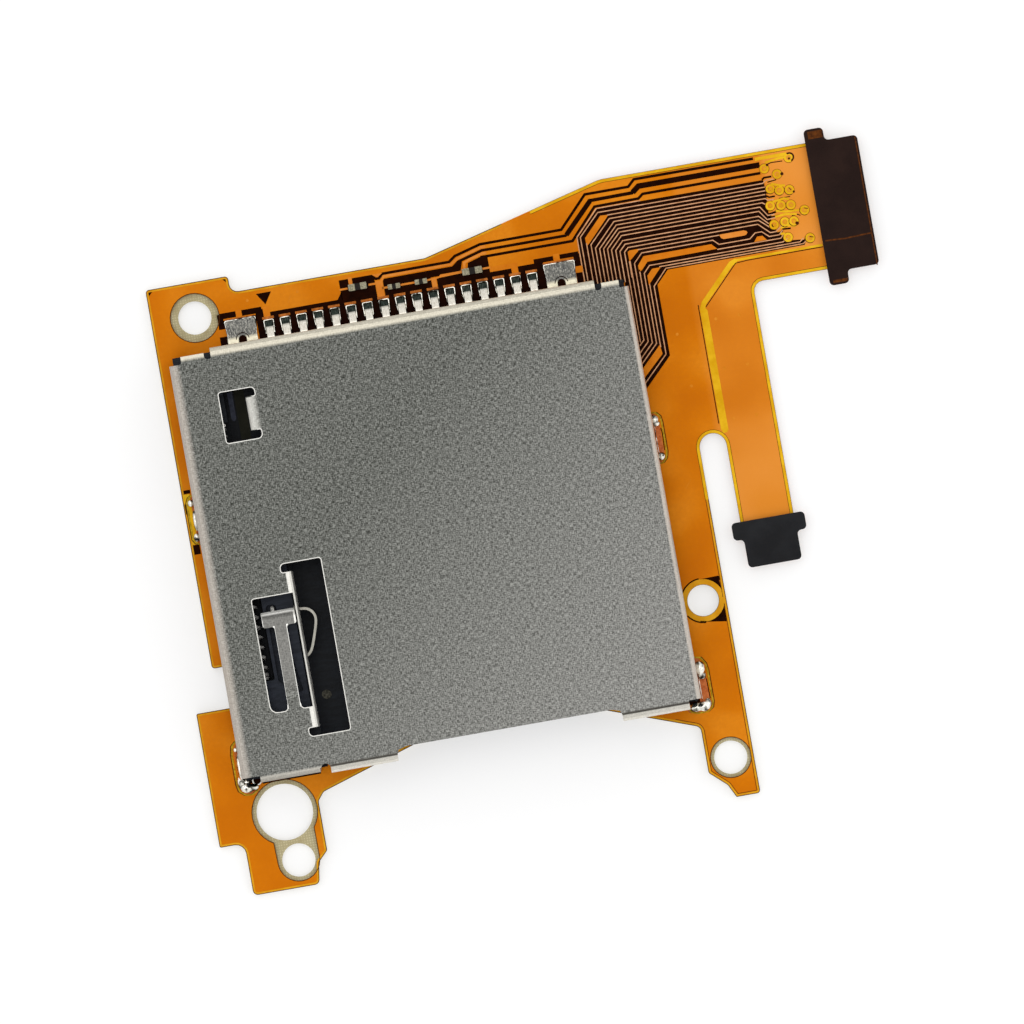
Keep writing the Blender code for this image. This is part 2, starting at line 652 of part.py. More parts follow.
def build_board(looks):
    stiffener_holes = [
        circle(REAR_HOLE, REAR_HOLE_RADIUS),
        circle(BIG_HOLE, BIG_HOLE_RADIUS),
        circle(LEG_HOLE, LEG_HOLE_RADIUS),
        circle(RIGHT_HOLE, RIGHT_HOLE_RADIUS),
        circle(SIDE_HOLE, SIDE_HOLE_RADIUS),
    ]
    flex_holes = [
        circle(REAR_HOLE, REAR_HOLE_OPENING),
        keyhole(),
        circle(RIGHT_HOLE, RIGHT_HOLE_OPENING),
        circle(SIDE_HOLE, SIDE_HOLE_RADIUS + SEAT_GAP),
    ]
    plate("body_stiffener", [stiffener_outline()] + stiffener_holes,
          0, STIFFENER_THICKNESS, PARTS, looks["fibreglass"])
    flex = plate("flex_circuit", [flex_outline()] + flex_holes, FLEX_BOTTOM, FLEX_TOP, PARTS, looks["flex"])

    # On the contact side the cover film stops short of each plug end and leaves its fingers bare
    beyond = COVER_FILM * 4
    bare_top = FLEX_BOTTOM + COVER_FILM
    combine(flex, box("main_fingers_bare", MAIN_PLUG_START + BARE_START, MAIN_PLUG_END + beyond,
                      MAIN_PLUG_FRONT - MAIN_EAR_REACH - beyond, MAIN_PLUG_BACK + MAIN_EAR_REACH + beyond,
                      FLEX_BOTTOM - beyond, bare_top))
    combine(flex, box("side_fingers_bare", SIDE_TAIL_LEFT - SIDE_EAR_REACH - beyond,
                      SIDE_TAIL_RIGHT + SIDE_EAR_REACH + beyond, SIDE_PLUG_END - beyond,
                      SIDE_PLUG_START - BARE_START, FLEX_BOTTOM - beyond, bare_top))
    plug_bottom = FLEX_TOP + SEAT_GAP
    for name, outline in (("main_plug_stiffener", MAIN_PLUG), ("side_plug_stiffener", SIDE_PLUG)):
        plate(name, [rounded(outline, PLUG_CORNER)], plug_bottom, plug_bottom + PLUG_THICKNESS,
              PARTS, looks["plug_film"])


def contact_positions():
    return [FIRST_CONTACT + CONTACT_PITCH * n for n in range(CONTACT_COUNT)]


def build_housing(looks):
    """The moulded frame: floor, right wall, back block, spring trough, slider channel and bridge."""
    top = HOUSING_TOP
    outline = [
        (HOUSING_LEFT, POST_FRONT), (CARD_LEFT, POST_FRONT), (CARD_LEFT, HOUSING_FRONT),
        (CARD_RIGHT, HOUSING_FRONT), (CARD_RIGHT, POST_FRONT), (HOUSING_RIGHT, POST_FRONT),
        (HOUSING_RIGHT, HOUSING_BACK), (HOUSING_LEFT, HOUSING_BACK),
    ]
    housing = plate("housing", [outline], HOUSING_BOTTOM, top, PARTS, looks["black_plastic"])
    beyond = 0.001

    cavity = box("card_cavity", CARD_LEFT - SEAT_GAP, CARD_RIGHT, POST_FRONT - beyond,
                 BACK_BLOCK_FRONT, FLOOR_TOP, top + beyond)
    combine(housing, cavity)
    channel = box("slider_channel", TROUGH_RIGHT, CARD_LEFT, BRIDGE_BACK, BACK_BLOCK_FRONT,
                  CHANNEL_FLOOR, top + beyond)
    combine(housing, channel)
    trough_back = SPRING_SEAT_Y
    trough = box("spring_trough", CHANNEL_LEFT, TROUGH_RIGHT + SEAT_GAP, BRIDGE_BACK, trough_back,
                 TROUGH_FLOOR, top + beyond)
    combine(housing, trough)
    bridge = box("bridge_top", HOUSING_LEFT - beyond, CARD_LEFT, POST_FRONT - beyond,
                 BRIDGE_BACK + SEAT_GAP, SLIDER_TOP, top + beyond)
    combine(housing, bridge)
    flap_room = box("flap_room", FLAP_FACE - SHEET - SIDE_GAP, CARD_LEFT,
                    LOCK_WINDOW_FRONT + EAR_WIDTH - SIDE_GAP, BRIDGE_BACK + SEAT_GAP,
                    SHIELD_HEIGHT - FLAP_DEPTH - SIDE_GAP, top + beyond)
    combine(housing, flap_room)
    seat_top = box("spring_seat_top", CHANNEL_LEFT, TROUGH_RIGHT + SEAT_GAP, SPRING_SEAT_Y - SEAT_GAP,
                   BACK_BLOCK_FRONT - SHEET, SPRING_Z + SPRING_RADIUS, top + beyond)
    combine(housing, seat_top)

    # Its outer top edges clear the inside of the shield's bends
    chamfer = BEND_RADIUS - SHEET + SIDE_GAP
    for name, edge, low, high, plane in (
        ("left_chamfer", HOUSING_LEFT, POST_FRONT - beyond, HOUSING_BACK + beyond, "XZ"),
        ("right_chamfer", HOUSING_RIGHT, POST_FRONT - beyond, HOUSING_BACK + beyond, "XZ"),
        ("back_chamfer", HOUSING_BACK, HOUSING_LEFT - beyond, HOUSING_RIGHT + beyond, "YZ"),
    ):
        inward = math.copysign(chamfer, -edge)
        corner = [(edge + inward, top), (edge, top - chamfer), (edge - inward, top - chamfer),
                  (edge - inward, top + chamfer), (edge + inward, top + chamfer)]
        combine(housing, plate(name, [corner], low, high, CUTTERS, plane=plane))

    # The front of the floor and of the right wall slope away to lead the card in
    ramp = [(HOUSING_FRONT - beyond, FLOOR_TOP - LEAD_IN - beyond),
            (HOUSING_FRONT + LEAD_IN, FLOOR_TOP), (HOUSING_FRONT + LEAD_IN, FLOOR_TOP + beyond),
            (HOUSING_FRONT - beyond, FLOOR_TOP + beyond)]
    combine(housing, plate("floor_lead_in", [ramp], CARD_LEFT, CARD_RIGHT, CUTTERS, plane="YZ"))
    wedge = [(CARD_RIGHT - beyond, POST_FRONT - beyond),
             (CARD_RIGHT + LEAD_IN / 2 + beyond, POST_FRONT - beyond),
             (CARD_RIGHT, POST_FRONT + LEAD_IN * 2), (CARD_RIGHT - beyond, POST_FRONT + LEAD_IN * 2)]
    combine(housing, plate("wall_lead_in", [wedge], FLOOR_TOP, top + beyond, CUTTERS))

    # A groove in the floor and a slot through the back block hold each contact
    half_slot = CONTACT_WIDTH / 2 + SEAT_GAP
    slot_floor = CONTACT_LEVEL - CONTACT_THICKNESS / 2 - SEAT_GAP
    slot_top = CONTACT_LEVEL + CONTACT_THICKNESS / 2 + SEAT_GAP
    tooth = [(GROOVE_FRONT, slot_floor), (HOUSING_BACK + beyond, slot_floor),
             (HOUSING_BACK + beyond, slot_top), (BACK_BLOCK_FRONT, slot_top),
             (BACK_BLOCK_FRONT - RUNNING_GAP, FLOOR_TOP + RUNNING_GAP),
             (GROOVE_FRONT, FLOOR_TOP + RUNNING_GAP)]
    for n, x in enumerate(contact_positions(), start=1):
        groove = plate(f"contact_slot_{n:02d}", [tooth], x - half_slot, x + half_slot, CUTTERS, plane="YZ")
        combine(housing, groove)

    # The hold-down plates sit in pockets under the back block
    for side, x in (("left", HOLD_DOWN_LEFT_X), ("right", HOLD_DOWN_RIGHT_X)):
        half = HOLD_DOWN_WIDTH / 2 + SEAT_GAP
        pocket = box(f"hold_down_pocket_{side}", x - half, x + half, HOLD_DOWN_FRONT - SEAT_GAP,
                     HOUSING_BACK + beyond, HOUSING_BOTTOM - beyond,
                     HOUSING_BOTTOM + HOLD_DOWN_THICKNESS + SEAT_GAP)
        combine(housing, pocket)

    pivot = (FOLLOWER_PIVOT_X, FOLLOWER_PIVOT_Y)
    pivot_hole = rod("pivot_hole", (*pivot, SLIDER_TOP - FOLLOWER_LEG - SIDE_GAP),
                     (*pivot, SLIDER_TOP + beyond), FOLLOWER_WIRE / 2 + SEAT_GAP, 12)
    combine(housing, pivot_hole)
    mark = rod("pin_mark", (PIN_MARK_X, PIN_MARK_Y, FLOOR_TOP - PIN_MARK_DEPTH),
               (PIN_MARK_X, PIN_MARK_Y, FLOOR_TOP + beyond), PIN_MARK_RADIUS, 20)
    combine(housing, mark)
    peg = rod("rear_spring_peg", (SPRING_X, SPRING_SEAT_Y - PEG_LENGTH, SPRING_Z),
              (SPRING_X, SPRING_SEAT_Y + SHEET, SPRING_Z), PEG_RADIUS)
    combine(housing, peg, "UNION")


def build_contacts(looks):
    """One stamped contact: a foot behind the shield, a straight held part and a sprung beam with a bump."""
    foot_level = HOUSING_BOTTOM + CONTACT_THICKNESS / 2
    path = [
        (CONTACT_FOOT_END, foot_level),
        (CONTACT_FOOT_START, foot_level),
        (SHIELD_BACK + RUNNING_GAP, CONTACT_LEVEL),
        (BACK_BLOCK_FRONT - RUNNING_GAP * 3, CONTACT_LEVEL),
        (CONTACT_BUMP_Y, CONTACT_LEVEL + CONTACT_BUMP_RISE),
        (CONTACT_TIP_Y, CONTACT_LEVEL + CONTACT_BUMP_RISE / 2),
    ]
    outline = ribbon(bent(path, CONTACT_THICKNESS * 2), CONTACT_THICKNESS)
    mesh = plate_mesh([outline], -CONTACT_WIDTH / 2, CONTACT_WIDTH / 2, "YZ")
    mesh.materials.append(looks["tin"])
    for n, x in enumerate(contact_positions(), start=1):
        contact = bpy.data.objects.new(f"contact_{n:02d}", mesh)
        contact.location = (x, 0, 0)
        bpy.data.collections[PARTS].objects.link(contact)


def build_hold_downs(looks):
    for side, x in (("left", HOLD_DOWN_LEFT_X), ("right", HOLD_DOWN_RIGHT_X)):
        outline = rounded(
            box_outline(x - HOLD_DOWN_WIDTH / 2, x + HOLD_DOWN_WIDTH / 2, HOLD_DOWN_FRONT, HOLD_DOWN_BACK),
            WINDOW_CORNER,
        )
        hole = circle((x, SHIELD_BACK + HOLD_DOWN_HOLE * 1.3), HOLD_DOWN_HOLE, 16)
        plate(f"hold_down_{side}", [outline, hole], HOUSING_BOTTOM + SEAT_GAP / 2,
              HOUSING_BOTTOM + HOLD_DOWN_THICKNESS, PARTS, looks["tin"])


def cam_track():
    """The heart-shaped groove in the slider's top, round its island, as an outline and a hole."""
    half = TRACK_WIDTH / 2
    start_x, start_y = FOLLOWER_TIP_X, FOLLOWER_TIP_Y
    end_x, end_y = start_x + FOLLOWER_SWING, start_y - SLIDER_STROKE
    return_x = start_x - RETURN_SHIFT
    outer = [
        (return_x - half, start_y + half, half), (start_x + half, start_y + half, half),
        (end_x + half, end_y, half), (end_x + half, end_y - half, half),
        (end_x - half, end_y - half, half), (return_x - half, end_y + half * 3, half),
    ]
    way = (end_x - start_x) / (end_y - start_y)

    def flank(y):
        return start_x + (y - start_y) * way - half

    edge = return_x + half
    apex_y = start_y + (edge + half - start_x) / way
    front = end_y + TRACK_WIDTH * 1.8
    notch = (flank(front) + edge) / 2
    corner = SEAT_GAP * 2
    island = [
        (edge, apex_y, corner), (flank(front), front, corner),
        (notch, front + half * 0.7), (edge, front + half * 0.4, corner),
    ]
    return rounded(outer), rounded(island)


def build_slider(looks):
    """The slide: a bar with the cam track, a shoulder that carries the spring and an arm for the card."""
    shoulder_left = CHANNEL_LEFT + RUNNING_GAP
    plan = [
        (shoulder_left, SLIDER_FRONT), (SLIDER_RIGHT, SLIDER_FRONT), (SLIDER_RIGHT, SLIDER_BACK),
        (SLIDER_LEFT, SLIDER_BACK), (SLIDER_LEFT, SHOULDER_Y), (shoulder_left, SHOULDER_Y),
    ]
    shoulder_bottom = TROUGH_FLOOR + SIDE_GAP
    slide_axis = (SPRING_X, SHOULDER_Y, SPRING_Z)
    slider = plate("slider", [rounded(plan, RUNNING_GAP)], shoulder_bottom, SLIDER_TOP,
                   PARTS, looks["black_plastic"], origin=slide_axis)
    runner = box("slider_runner", SLIDER_LEFT + SEAT_GAP, SLIDER_RIGHT - SEAT_GAP,
                 SLIDER_FRONT + RUNNING_GAP * 3, SLIDER_BACK - RUNNING_GAP * 3,
                 SLIDER_BOTTOM, shoulder_bottom + SHEET)
    combine(slider, runner, "UNION")
    arm_bottom = FLOOR_TOP + RUNNING_GAP * 2
    arm_back = SLIDER_BACK - RUNNING_GAP * 2
    arm_plan = rounded(box_outline(SLIDER_RIGHT - SHEET, SLIDER_RIGHT + ARM_REACH,
                                   arm_back - ARM_LENGTH, arm_back), RUNNING_GAP)
    arm = plate("slider_arm", [arm_plan], arm_bottom, SLIDER_TOP - ARM_DROP, CUTTERS)
    combine(slider, arm, "UNION")

    outer, island = cam_track()
    track = plate("cam_track", [outer, island], SLIDER_TOP - TRACK_DEPTH, SLIDER_TOP + SHEET, CUTTERS)
    combine(slider, track)
    recess = box("lock_strip_recess", SLIDER_RIGHT - LOCK_STRIP - SEAT_GAP * 2, SLIDER_RIGHT + SHEET,
                 LOCK_BUMP_Y - LOCK_STRIP_BASE_BACK, LOCK_STRIP_BASE_BACK + SEAT_GAP * 3,
                 LOCK_STRIP_BOTTOM - RUNNING_GAP, LOCK_STRIP_TOP + RUNNING_GAP)
    combine(slider, recess)
    peg = rod("front_spring_peg", (SPRING_X, SHOULDER_Y - SHEET, SPRING_Z),
              (SPRING_X, SHOULDER_Y + PEG_LENGTH, SPRING_Z), PEG_RADIUS)
    combine(slider, peg, "UNION")


def build_lock_spring(looks):
    """The strip on the slider's side whose bump snaps into the card's edge notch."""
    base_x = SLIDER_RIGHT - LOCK_STRIP / 2 - SEAT_GAP
    bump_x = SLIDER_RIGHT + LOCK_BUMP_REACH - LOCK_STRIP / 2
    path = [
        (base_x, LOCK_STRIP_BASE_BACK),
        (base_x, LOCK_BUMP_Y + LOCK_RISE_START),
        (bump_x - LOCK_RISE_REACH, LOCK_BUMP_Y + LOCK_RISE_END),
        (bump_x, LOCK_BUMP_Y + LOCK_CREST),
        (bump_x - LOCK_CREST * 1.2, LOCK_BUMP_Y - LOCK_FALL_START),
        (bump_x - LOCK_FALL_REACH, LOCK_BUMP_Y - LOCK_FALL_END),
        (SLIDER_RIGHT + LOCK_STRIP / 2 + SEAT_GAP, LOCK_BUMP_Y - LOCK_TIP),
    ]
    outline = ribbon(bent(path, LOCK_RISE_REACH, 5), LOCK_STRIP)
    plate("card_lock_spring", [outline], LOCK_STRIP_BOTTOM, LOCK_STRIP_TOP, PARTS, looks["steel"],
          origin=(SPRING_X, SHOULDER_Y, SPRING_Z))


def wire(name, points, radius, look, origin, resolution=2):
    """A round wire through the points."""
    curve = bpy.data.curves.new(name, "CURVE")
    curve.dimensions = "3D"
    curve.bevel_depth = radius * FILL_SCALE
    curve.bevel_resolution = resolution
    curve.use_fill_caps = True
    spline = curve.splines.new("POLY")
    spline.points.add(len(points) - 1)
    for point, (x, y, z) in zip(spline.points, points):
        point.co = (x * FILL_SCALE, y * FILL_SCALE, z * FILL_SCALE, 1)
    return place(name, curve_mesh(curve, Matrix()), PARTS, look, origin)


def build_follower(looks):
    """The wire that runs in the cam track: a leg in the bridge, an arm over the slider and a tip."""
    level = SLIDER_TOP + SEAT_GAP + FOLLOWER_WIRE / 2
    pivot = Vector((FOLLOWER_PIVOT_X, FOLLOWER_PIVOT_Y, level))
    tip = Vector((FOLLOWER_TIP_X, FOLLOWER_TIP_Y, level))
    way = (tip - pivot).normalized()
    down = Vector((0, 0, -1))
    bend = FOLLOWER_WIRE * 0.75
    points = [
        pivot + down * FOLLOWER_LEG,
        pivot + down * bend,
        pivot + down * bend * 0.3 + way * bend * 0.3,
        pivot + way * bend,
        tip - way * bend,
        tip - way * bend * 0.3 + down * bend * 0.3,
        tip + down * bend,
        tip + down * (TRACK_DEPTH * 0.85),
    ]
    wire("cam_follower", points, FOLLOWER_WIRE / 2, looks["steel"], pivot)


def build_spring(looks):
    """The coil that pushes the slider back out, with closed turns at both ends."""
    front = SHOULDER_Y + SPRING_GAP + SPRING_WIRE / 2
    back = SPRING_SEAT_Y - SPRING_GAP - SPRING_WIRE / 2
    turns = SPRING_TURNS + 2 * SPRING_END_TURNS
    closed = SPRING_END_TURNS * SPRING_WIRE * 1.15
    open_pitch = (back - front - 2 * closed) / SPRING_TURNS
    radius = SPRING_RADIUS - SPRING_WIRE / 2
    steps = 10
    points = []
    for n in range(int(turns * steps) + 1):
        turn = n / steps
        if turn < SPRING_END_TURNS:
            along = turn * SPRING_WIRE * 1.15
        elif turn > turns - SPRING_END_TURNS:
            along = back - front - (turns - turn) * SPRING_WIRE * 1.15
        else:
            along = closed + (turn - SPRING_END_TURNS) * open_pitch
        angle = 2 * math.pi * turn
        points.append((
            SPRING_X + radius * math.cos(angle), front + along, SPRING_Z + radius * math.sin(angle)
        ))
    wire("eject_spring", points, SPRING_WIRE / 2, looks["steel"], (SPRING_X, back, SPRING_Z))


def shield_top_outline():
    """The flat of the shield inside its bends, and its two windows."""
    bend_left = SHIELD_LEFT + BEND_RADIUS
    bend_right = SHIELD_RIGHT - BEND_RADIUS
    bend_back = SHIELD_BACK - BEND_RADIUS
    notch = CORNER_NOTCH_WIDTH / 2
    notch_front = CORNER_TAB_BACK - CORNER_NOTCH_DEPTH
    front_notch = arc((FRONT_NOTCH_X, LIP_BEND - SHEET / 2), FRONT_NOTCH_RADIUS, 180, 0, 10)
    edge = [
        (bend_left, SIDE_WALL_FRONT_END),
        (FRONT_WALL_LEFT, SIDE_WALL_FRONT_END),
        (FRONT_WALL_LEFT, LIP_BEND),
        (front_notch[0][0], LIP_BEND),
    ] + front_notch + [
        (front_notch[-1][0], LIP_BEND),
        (ENTRY_LEFT - RUNNING_GAP, LIP_BEND),
        (ENTRY_LEFT, ENTRY_EDGE - RUNNING_GAP * 1.5),
        (ENTRY_LEFT + RUNNING_GAP * 5, ENTRY_EDGE),
        (ENTRY_RIGHT - RUNNING_GAP * 5, ENTRY_EDGE),
        (ENTRY_RIGHT, ENTRY_EDGE - RUNNING_GAP * 1.5),
        (ENTRY_RIGHT + RUNNING_GAP, LIP_BEND),
        (CARD_RIGHT, LIP_BEND),
        (CARD_RIGHT, SIDE_WALL_FRONT_END),
        (bend_right, SIDE_WALL_FRONT_END),
        (bend_right, SIDE_WALL_BACK_END),
        (SHIELD_RIGHT - CORNER_CUT_RIGHT, SIDE_WALL_BACK_END, notch),
        (SHIELD_RIGHT - CORNER_CUT_RIGHT, CORNER_TAB_BACK),
        (BACK_WALL_RIGHT + 2 * notch, CORNER_TAB_BACK),
        (BACK_WALL_RIGHT + 2 * notch, notch_front, notch),
        (BACK_WALL_RIGHT, notch_front, notch),
        (BACK_WALL_RIGHT, bend_back),
        (BACK_WALL_LEFT, bend_back),
        (BACK_WALL_LEFT, notch_front, notch),
        (BACK_WALL_LEFT - 2 * notch, notch_front, notch),
        (BACK_WALL_LEFT - 2 * notch, CORNER_TAB_BACK),
        (SHIELD_LEFT + CORNER_CUT_LEFT, CORNER_TAB_BACK),
        (SHIELD_LEFT + CORNER_CUT_LEFT, SIDE_WALL_BACK_END, notch),
        (bend_left, SIDE_WALL_BACK_END),
    ]
    ear = EAR_WIDTH / 2
    corner = WINDOW_CORNER
    tab_root = REAR_WINDOW_RIGHT + BEND_RADIUS
    rear_window = [
        (REAR_WINDOW_LEFT, REAR_WINDOW_FRONT, corner),
        (REAR_WINDOW_RIGHT + EAR_REACH, REAR_WINDOW_FRONT, ear),
        (REAR_WINDOW_RIGHT + EAR_REACH, REAR_WINDOW_FRONT + EAR_WIDTH, ear),
        (tab_root, REAR_WINDOW_FRONT + EAR_WIDTH), (tab_root, REAR_WINDOW_BACK - EAR_WIDTH),
        (REAR_WINDOW_RIGHT + EAR_REACH, REAR_WINDOW_BACK - EAR_WIDTH, ear),
        (REAR_WINDOW_RIGHT + EAR_REACH, REAR_WINDOW_BACK, ear),
        (REAR_WINDOW_LEFT, REAR_WINDOW_BACK, corner),
    ]
    flap_root = FLAP_FACE - BEND_RADIUS
    ear_end = flap_root - EAR_REACH / 2.4
    slot = (FINGER_HEAD_RIGHT - FINGER_STEM_RIGHT) / 2
    lock_window = [
        (LOCK_WINDOW_RIGHT, LOCK_WINDOW_BACK, corner), (LOCK_WINDOW_RIGHT, LOCK_WINDOW_FRONT, corner),
        (ear_end, LOCK_WINDOW_FRONT, ear), (ear_end, LOCK_WINDOW_FRONT + EAR_WIDTH, ear),
        (flap_root, LOCK_WINDOW_FRONT + EAR_WIDTH), (flap_root, FINGER_WINDOW_FRONT),
        (FINGER_STEM_RIGHT + FINGER_TAPER, FINGER_WINDOW_FRONT, slot),
        (FINGER_STEM_RIGHT, FINGER_WINDOW_FRONT + slot * 1.2),
        (FINGER_STEM_LEFT, FINGER_WINDOW_FRONT + slot * 1.2),
        (FINGER_STEM_LEFT - FINGER_TAPER, FINGER_WINDOW_FRONT, slot),
        (FINGER_WINDOW_LEFT, FINGER_WINDOW_FRONT, slot * 1.5),
        (FINGER_WINDOW_LEFT, FINGER_WINDOW_BACK, corner),
        (flap_root, FINGER_WINDOW_BACK), (flap_root, LOCK_WINDOW_BACK - EAR_WIDTH),
        (ear_end, LOCK_WINDOW_BACK - EAR_WIDTH, ear), (ear_end, LOCK_WINDOW_BACK, ear),
    ]
    return [rounded(edge), rounded(rear_window), rounded(lock_window)]


def flange(name, edge, root, bottom, low, high, plane, radius=BEND_RADIUS):
    """A wall bent down from the shield's top at an edge. Its root runs back under the flat top."""
    middle = SHIELD_HEIGHT - SHEET / 2
    inward = 1 if root > edge else -1
    wall = edge + inward * SHEET / 2
    path = bent([(root, middle), (wall, middle), (wall, bottom)], radius - SHEET / 2)
    return plate(name, [ribbon(path, SHEET)], low, high, CUTTERS, plane=plane)


def build_shield(looks):
    """The cover: a flat top with walls bent down round it, and sprung and bent parts at its windows."""
    shield = plate("shield_cover", shield_top_outline(), SHIELD_INSIDE, SHIELD_HEIGHT, PARTS, looks["shield"])
    overlap = BEND_RADIUS * 1.5
    foot = HOUSING_BOTTOM

    for side, edge in (("left", SHIELD_LEFT), ("right", SHIELD_RIGHT)):
        inward = math.copysign(overlap, -edge)
        wall = flange(f"{side}_wall", edge, edge + inward, foot,
                      SIDE_WALL_FRONT_END, SIDE_WALL_BACK_END, "XZ")
        # Between its two solder feet the wall's lower edge is higher
        gaps = [
            (REAR_FOOT_Y + FOOT_LENGTH / 2, SHIELD_BACK),
            (FRONT_FOOT_Y + FOOT_LENGTH / 2, REAR_FOOT_Y - FOOT_LENGTH / 2),
        ]
        for n, (front, back) in enumerate(gaps):
            gap = rounded([(front, foot - SHEET), (back, foot - SHEET),
                           (back, SIDE_WALL_BOTTOM), (front, SIDE_WALL_BOTTOM)], WINDOW_CORNER)
            combine(wall, plate(f"{side}_wall_gap_{n}", [gap], edge - SHEET * 2, edge + SHEET * 2,
                                CUTTERS, plane="YZ"))
        combine(shield, wall, "UNION")

    combine(shield, flange("back_wall", SHIELD_BACK, SHIELD_BACK - overlap, BACK_WALL_BOTTOM,
                           BACK_WALL_LEFT, BACK_WALL_RIGHT, "YZ"), "UNION")
    combine(shield, flange("front_wall", FRONT_WALL_FACE, FRONT_WALL_FACE + overlap, foot,
                           FRONT_WALL_LEFT, FRONT_WALL_RIGHT, "YZ", SHEET * 1.5), "UNION")

    middle = SHIELD_HEIGHT - SHEET / 2
    lip = ribbon(bent([(LIP_BEND + SHEET, middle), (LIP_BEND, middle),
                       (LIP_FRONT + SHEET * 0.35, middle + LIP_RISE)], SHEET), SHEET)
    for side, left, right in (("left", FRONT_NOTCH_X + FRONT_NOTCH_RADIUS, ENTRY_LEFT - RUNNING_GAP),
                              ("right", ENTRY_RIGHT + RUNNING_GAP, CARD_RIGHT)):
        combine(shield, plate(f"{side}_lip", [lip], left, right, CUTTERS, plane="YZ"), "UNION")

    flap_root = FLAP_FACE - BEND_RADIUS
    flap = flange("flap", FLAP_FACE, FLAP_FACE - overlap, SHIELD_HEIGHT - FLAP_DEPTH,
                  LOCK_WINDOW_FRONT + EAR_WIDTH, LOCK_WINDOW_BACK - EAR_WIDTH, "XZ")
    combine(flap, box("flap_root_cut", flap_root - SHEET * 2, FLAP_FACE - SHEET, FINGER_WINDOW_FRONT,
                      FINGER_WINDOW_BACK, SHIELD_HEIGHT - FLAP_DEPTH / 2, SHIELD_HEIGHT + SHEET))
    combine(shield, flap, "UNION")
    combine(shield, flange("slider_tab", REAR_WINDOW_RIGHT, REAR_WINDOW_RIGHT + overlap,
                           SHIELD_HEIGHT - TAB_DEPTH, REAR_WINDOW_FRONT + EAR_WIDTH,
                           REAR_WINDOW_BACK - EAR_WIDTH, "XZ"), "UNION")

    # The finger presses the follower into its track: a T-shaped blank, bent down towards its head
    low = FINGER_UNDERSIDE + SHEET / 2
    path = bent([(FINGER_WINDOW_FRONT - SHEET, middle), (FINGER_WINDOW_FRONT + SHEET * 3, middle),
                 (FINGER_HEAD_BACK - FINGER_BEND, low), (FINGER_HEAD_BACK - SEAT_GAP, low + SHEET)], SHEET * 2)
    finger = plate("finger", [ribbon(path, SHEET)], FINGER_HEAD_LEFT, FINGER_HEAD_RIGHT, CUTTERS, plane="YZ")
    blank = rounded([
        (FINGER_STEM_LEFT + SEAT_GAP, FINGER_WINDOW_FRONT - SHEET),
        (FINGER_STEM_RIGHT - SEAT_GAP, FINGER_WINDOW_FRONT - SHEET),
        (FINGER_STEM_RIGHT - SEAT_GAP, FINGER_HEAD_FRONT, WINDOW_CORNER),
        (FINGER_HEAD_RIGHT, FINGER_HEAD_FRONT, WINDOW_CORNER),
        (FINGER_HEAD_RIGHT, FINGER_HEAD_BACK + SHEET),
        (FINGER_HEAD_LEFT, FINGER_HEAD_BACK + SHEET),
        (FINGER_HEAD_LEFT, FINGER_HEAD_FRONT, WINDOW_CORNER),
        (FINGER_STEM_LEFT + SEAT_GAP, FINGER_HEAD_FRONT, WINDOW_CORNER),
    ])
    combine(finger, plate("finger_blank", [blank], FINGER_UNDERSIDE - SHEET,
                          SHIELD_HEIGHT + SHEET, CUTTERS), "INTERSECT")
    combine(shield, finger, "UNION")


def build_solder(looks):
    """A fillet at each foot of the shield, thicker at its ends."""
    top = HOUSING_BOTTOM
    for side, edge in (("left", SHIELD_LEFT), ("right", SHIELD_RIGHT)):
        outward = math.copysign(1, edge)
        for end, y in (("rear", REAR_FOOT_Y), ("front", FRONT_FOOT_Y)):
            name = f"solder_{side}_{end}"
            face = edge + outward * SEAT_GAP
            half = SOLDER_LENGTH / 2
            seam = dome(name, (face, y, top), (SOLDER_REACH * 0.7, half, SOLDER_HEIGHT * 0.7), PARTS)
            seam.data.materials.append(looks["solder"])
            for n, shift in enumerate((-0.72, 0.72)):
                lump = dome(f"{name}_lump_{n}", (face + outward * SOLDER_REACH * 0.2, y + shift * half, top),
                            (SOLDER_REACH * 0.8, half * 0.28, SOLDER_HEIGHT))
                combine(seam, lump, "UNION")
            near, far = sorted((face, face - outward * SOLDER_REACH * 2))
            combine(seam, box(f"{name}_wall_cut", near, far, y - half * 2, y + half * 2,
                              top - SOLDER_HEIGHT * 2, top + SOLDER_HEIGHT * 2))
            combine(seam, box(f"{name}_board_cut", edge - SOLDER_REACH * 3, edge + SOLDER_REACH * 3,
                              y - half * 2, y + half * 2, top - SOLDER_HEIGHT * 2, top))


def build_chips(looks):
    names = ("chip_capacitor_1", "chip_resistor_1", "chip_resistor_2", "chip_capacitor_2")
    places = (CHIP_1, CHIP_2, CHIP_3, CHIP_4)
    sizes = (LARGE_CHIP, SMALL_CHIP, SMALL_CHIP, WIDE_CHIP)
    for name, (x, y), (length, width) in zip(names, places, sizes):
        outline = box_outline(x - length / 2, x + length / 2, y - width / 2, y + width / 2)
        plate(name, [rounded(outline, SEAT_GAP * 2, 2)], HOUSING_BOTTOM, HOUSING_BOTTOM + CHIP_HEIGHT,
              PARTS, looks["chip"])


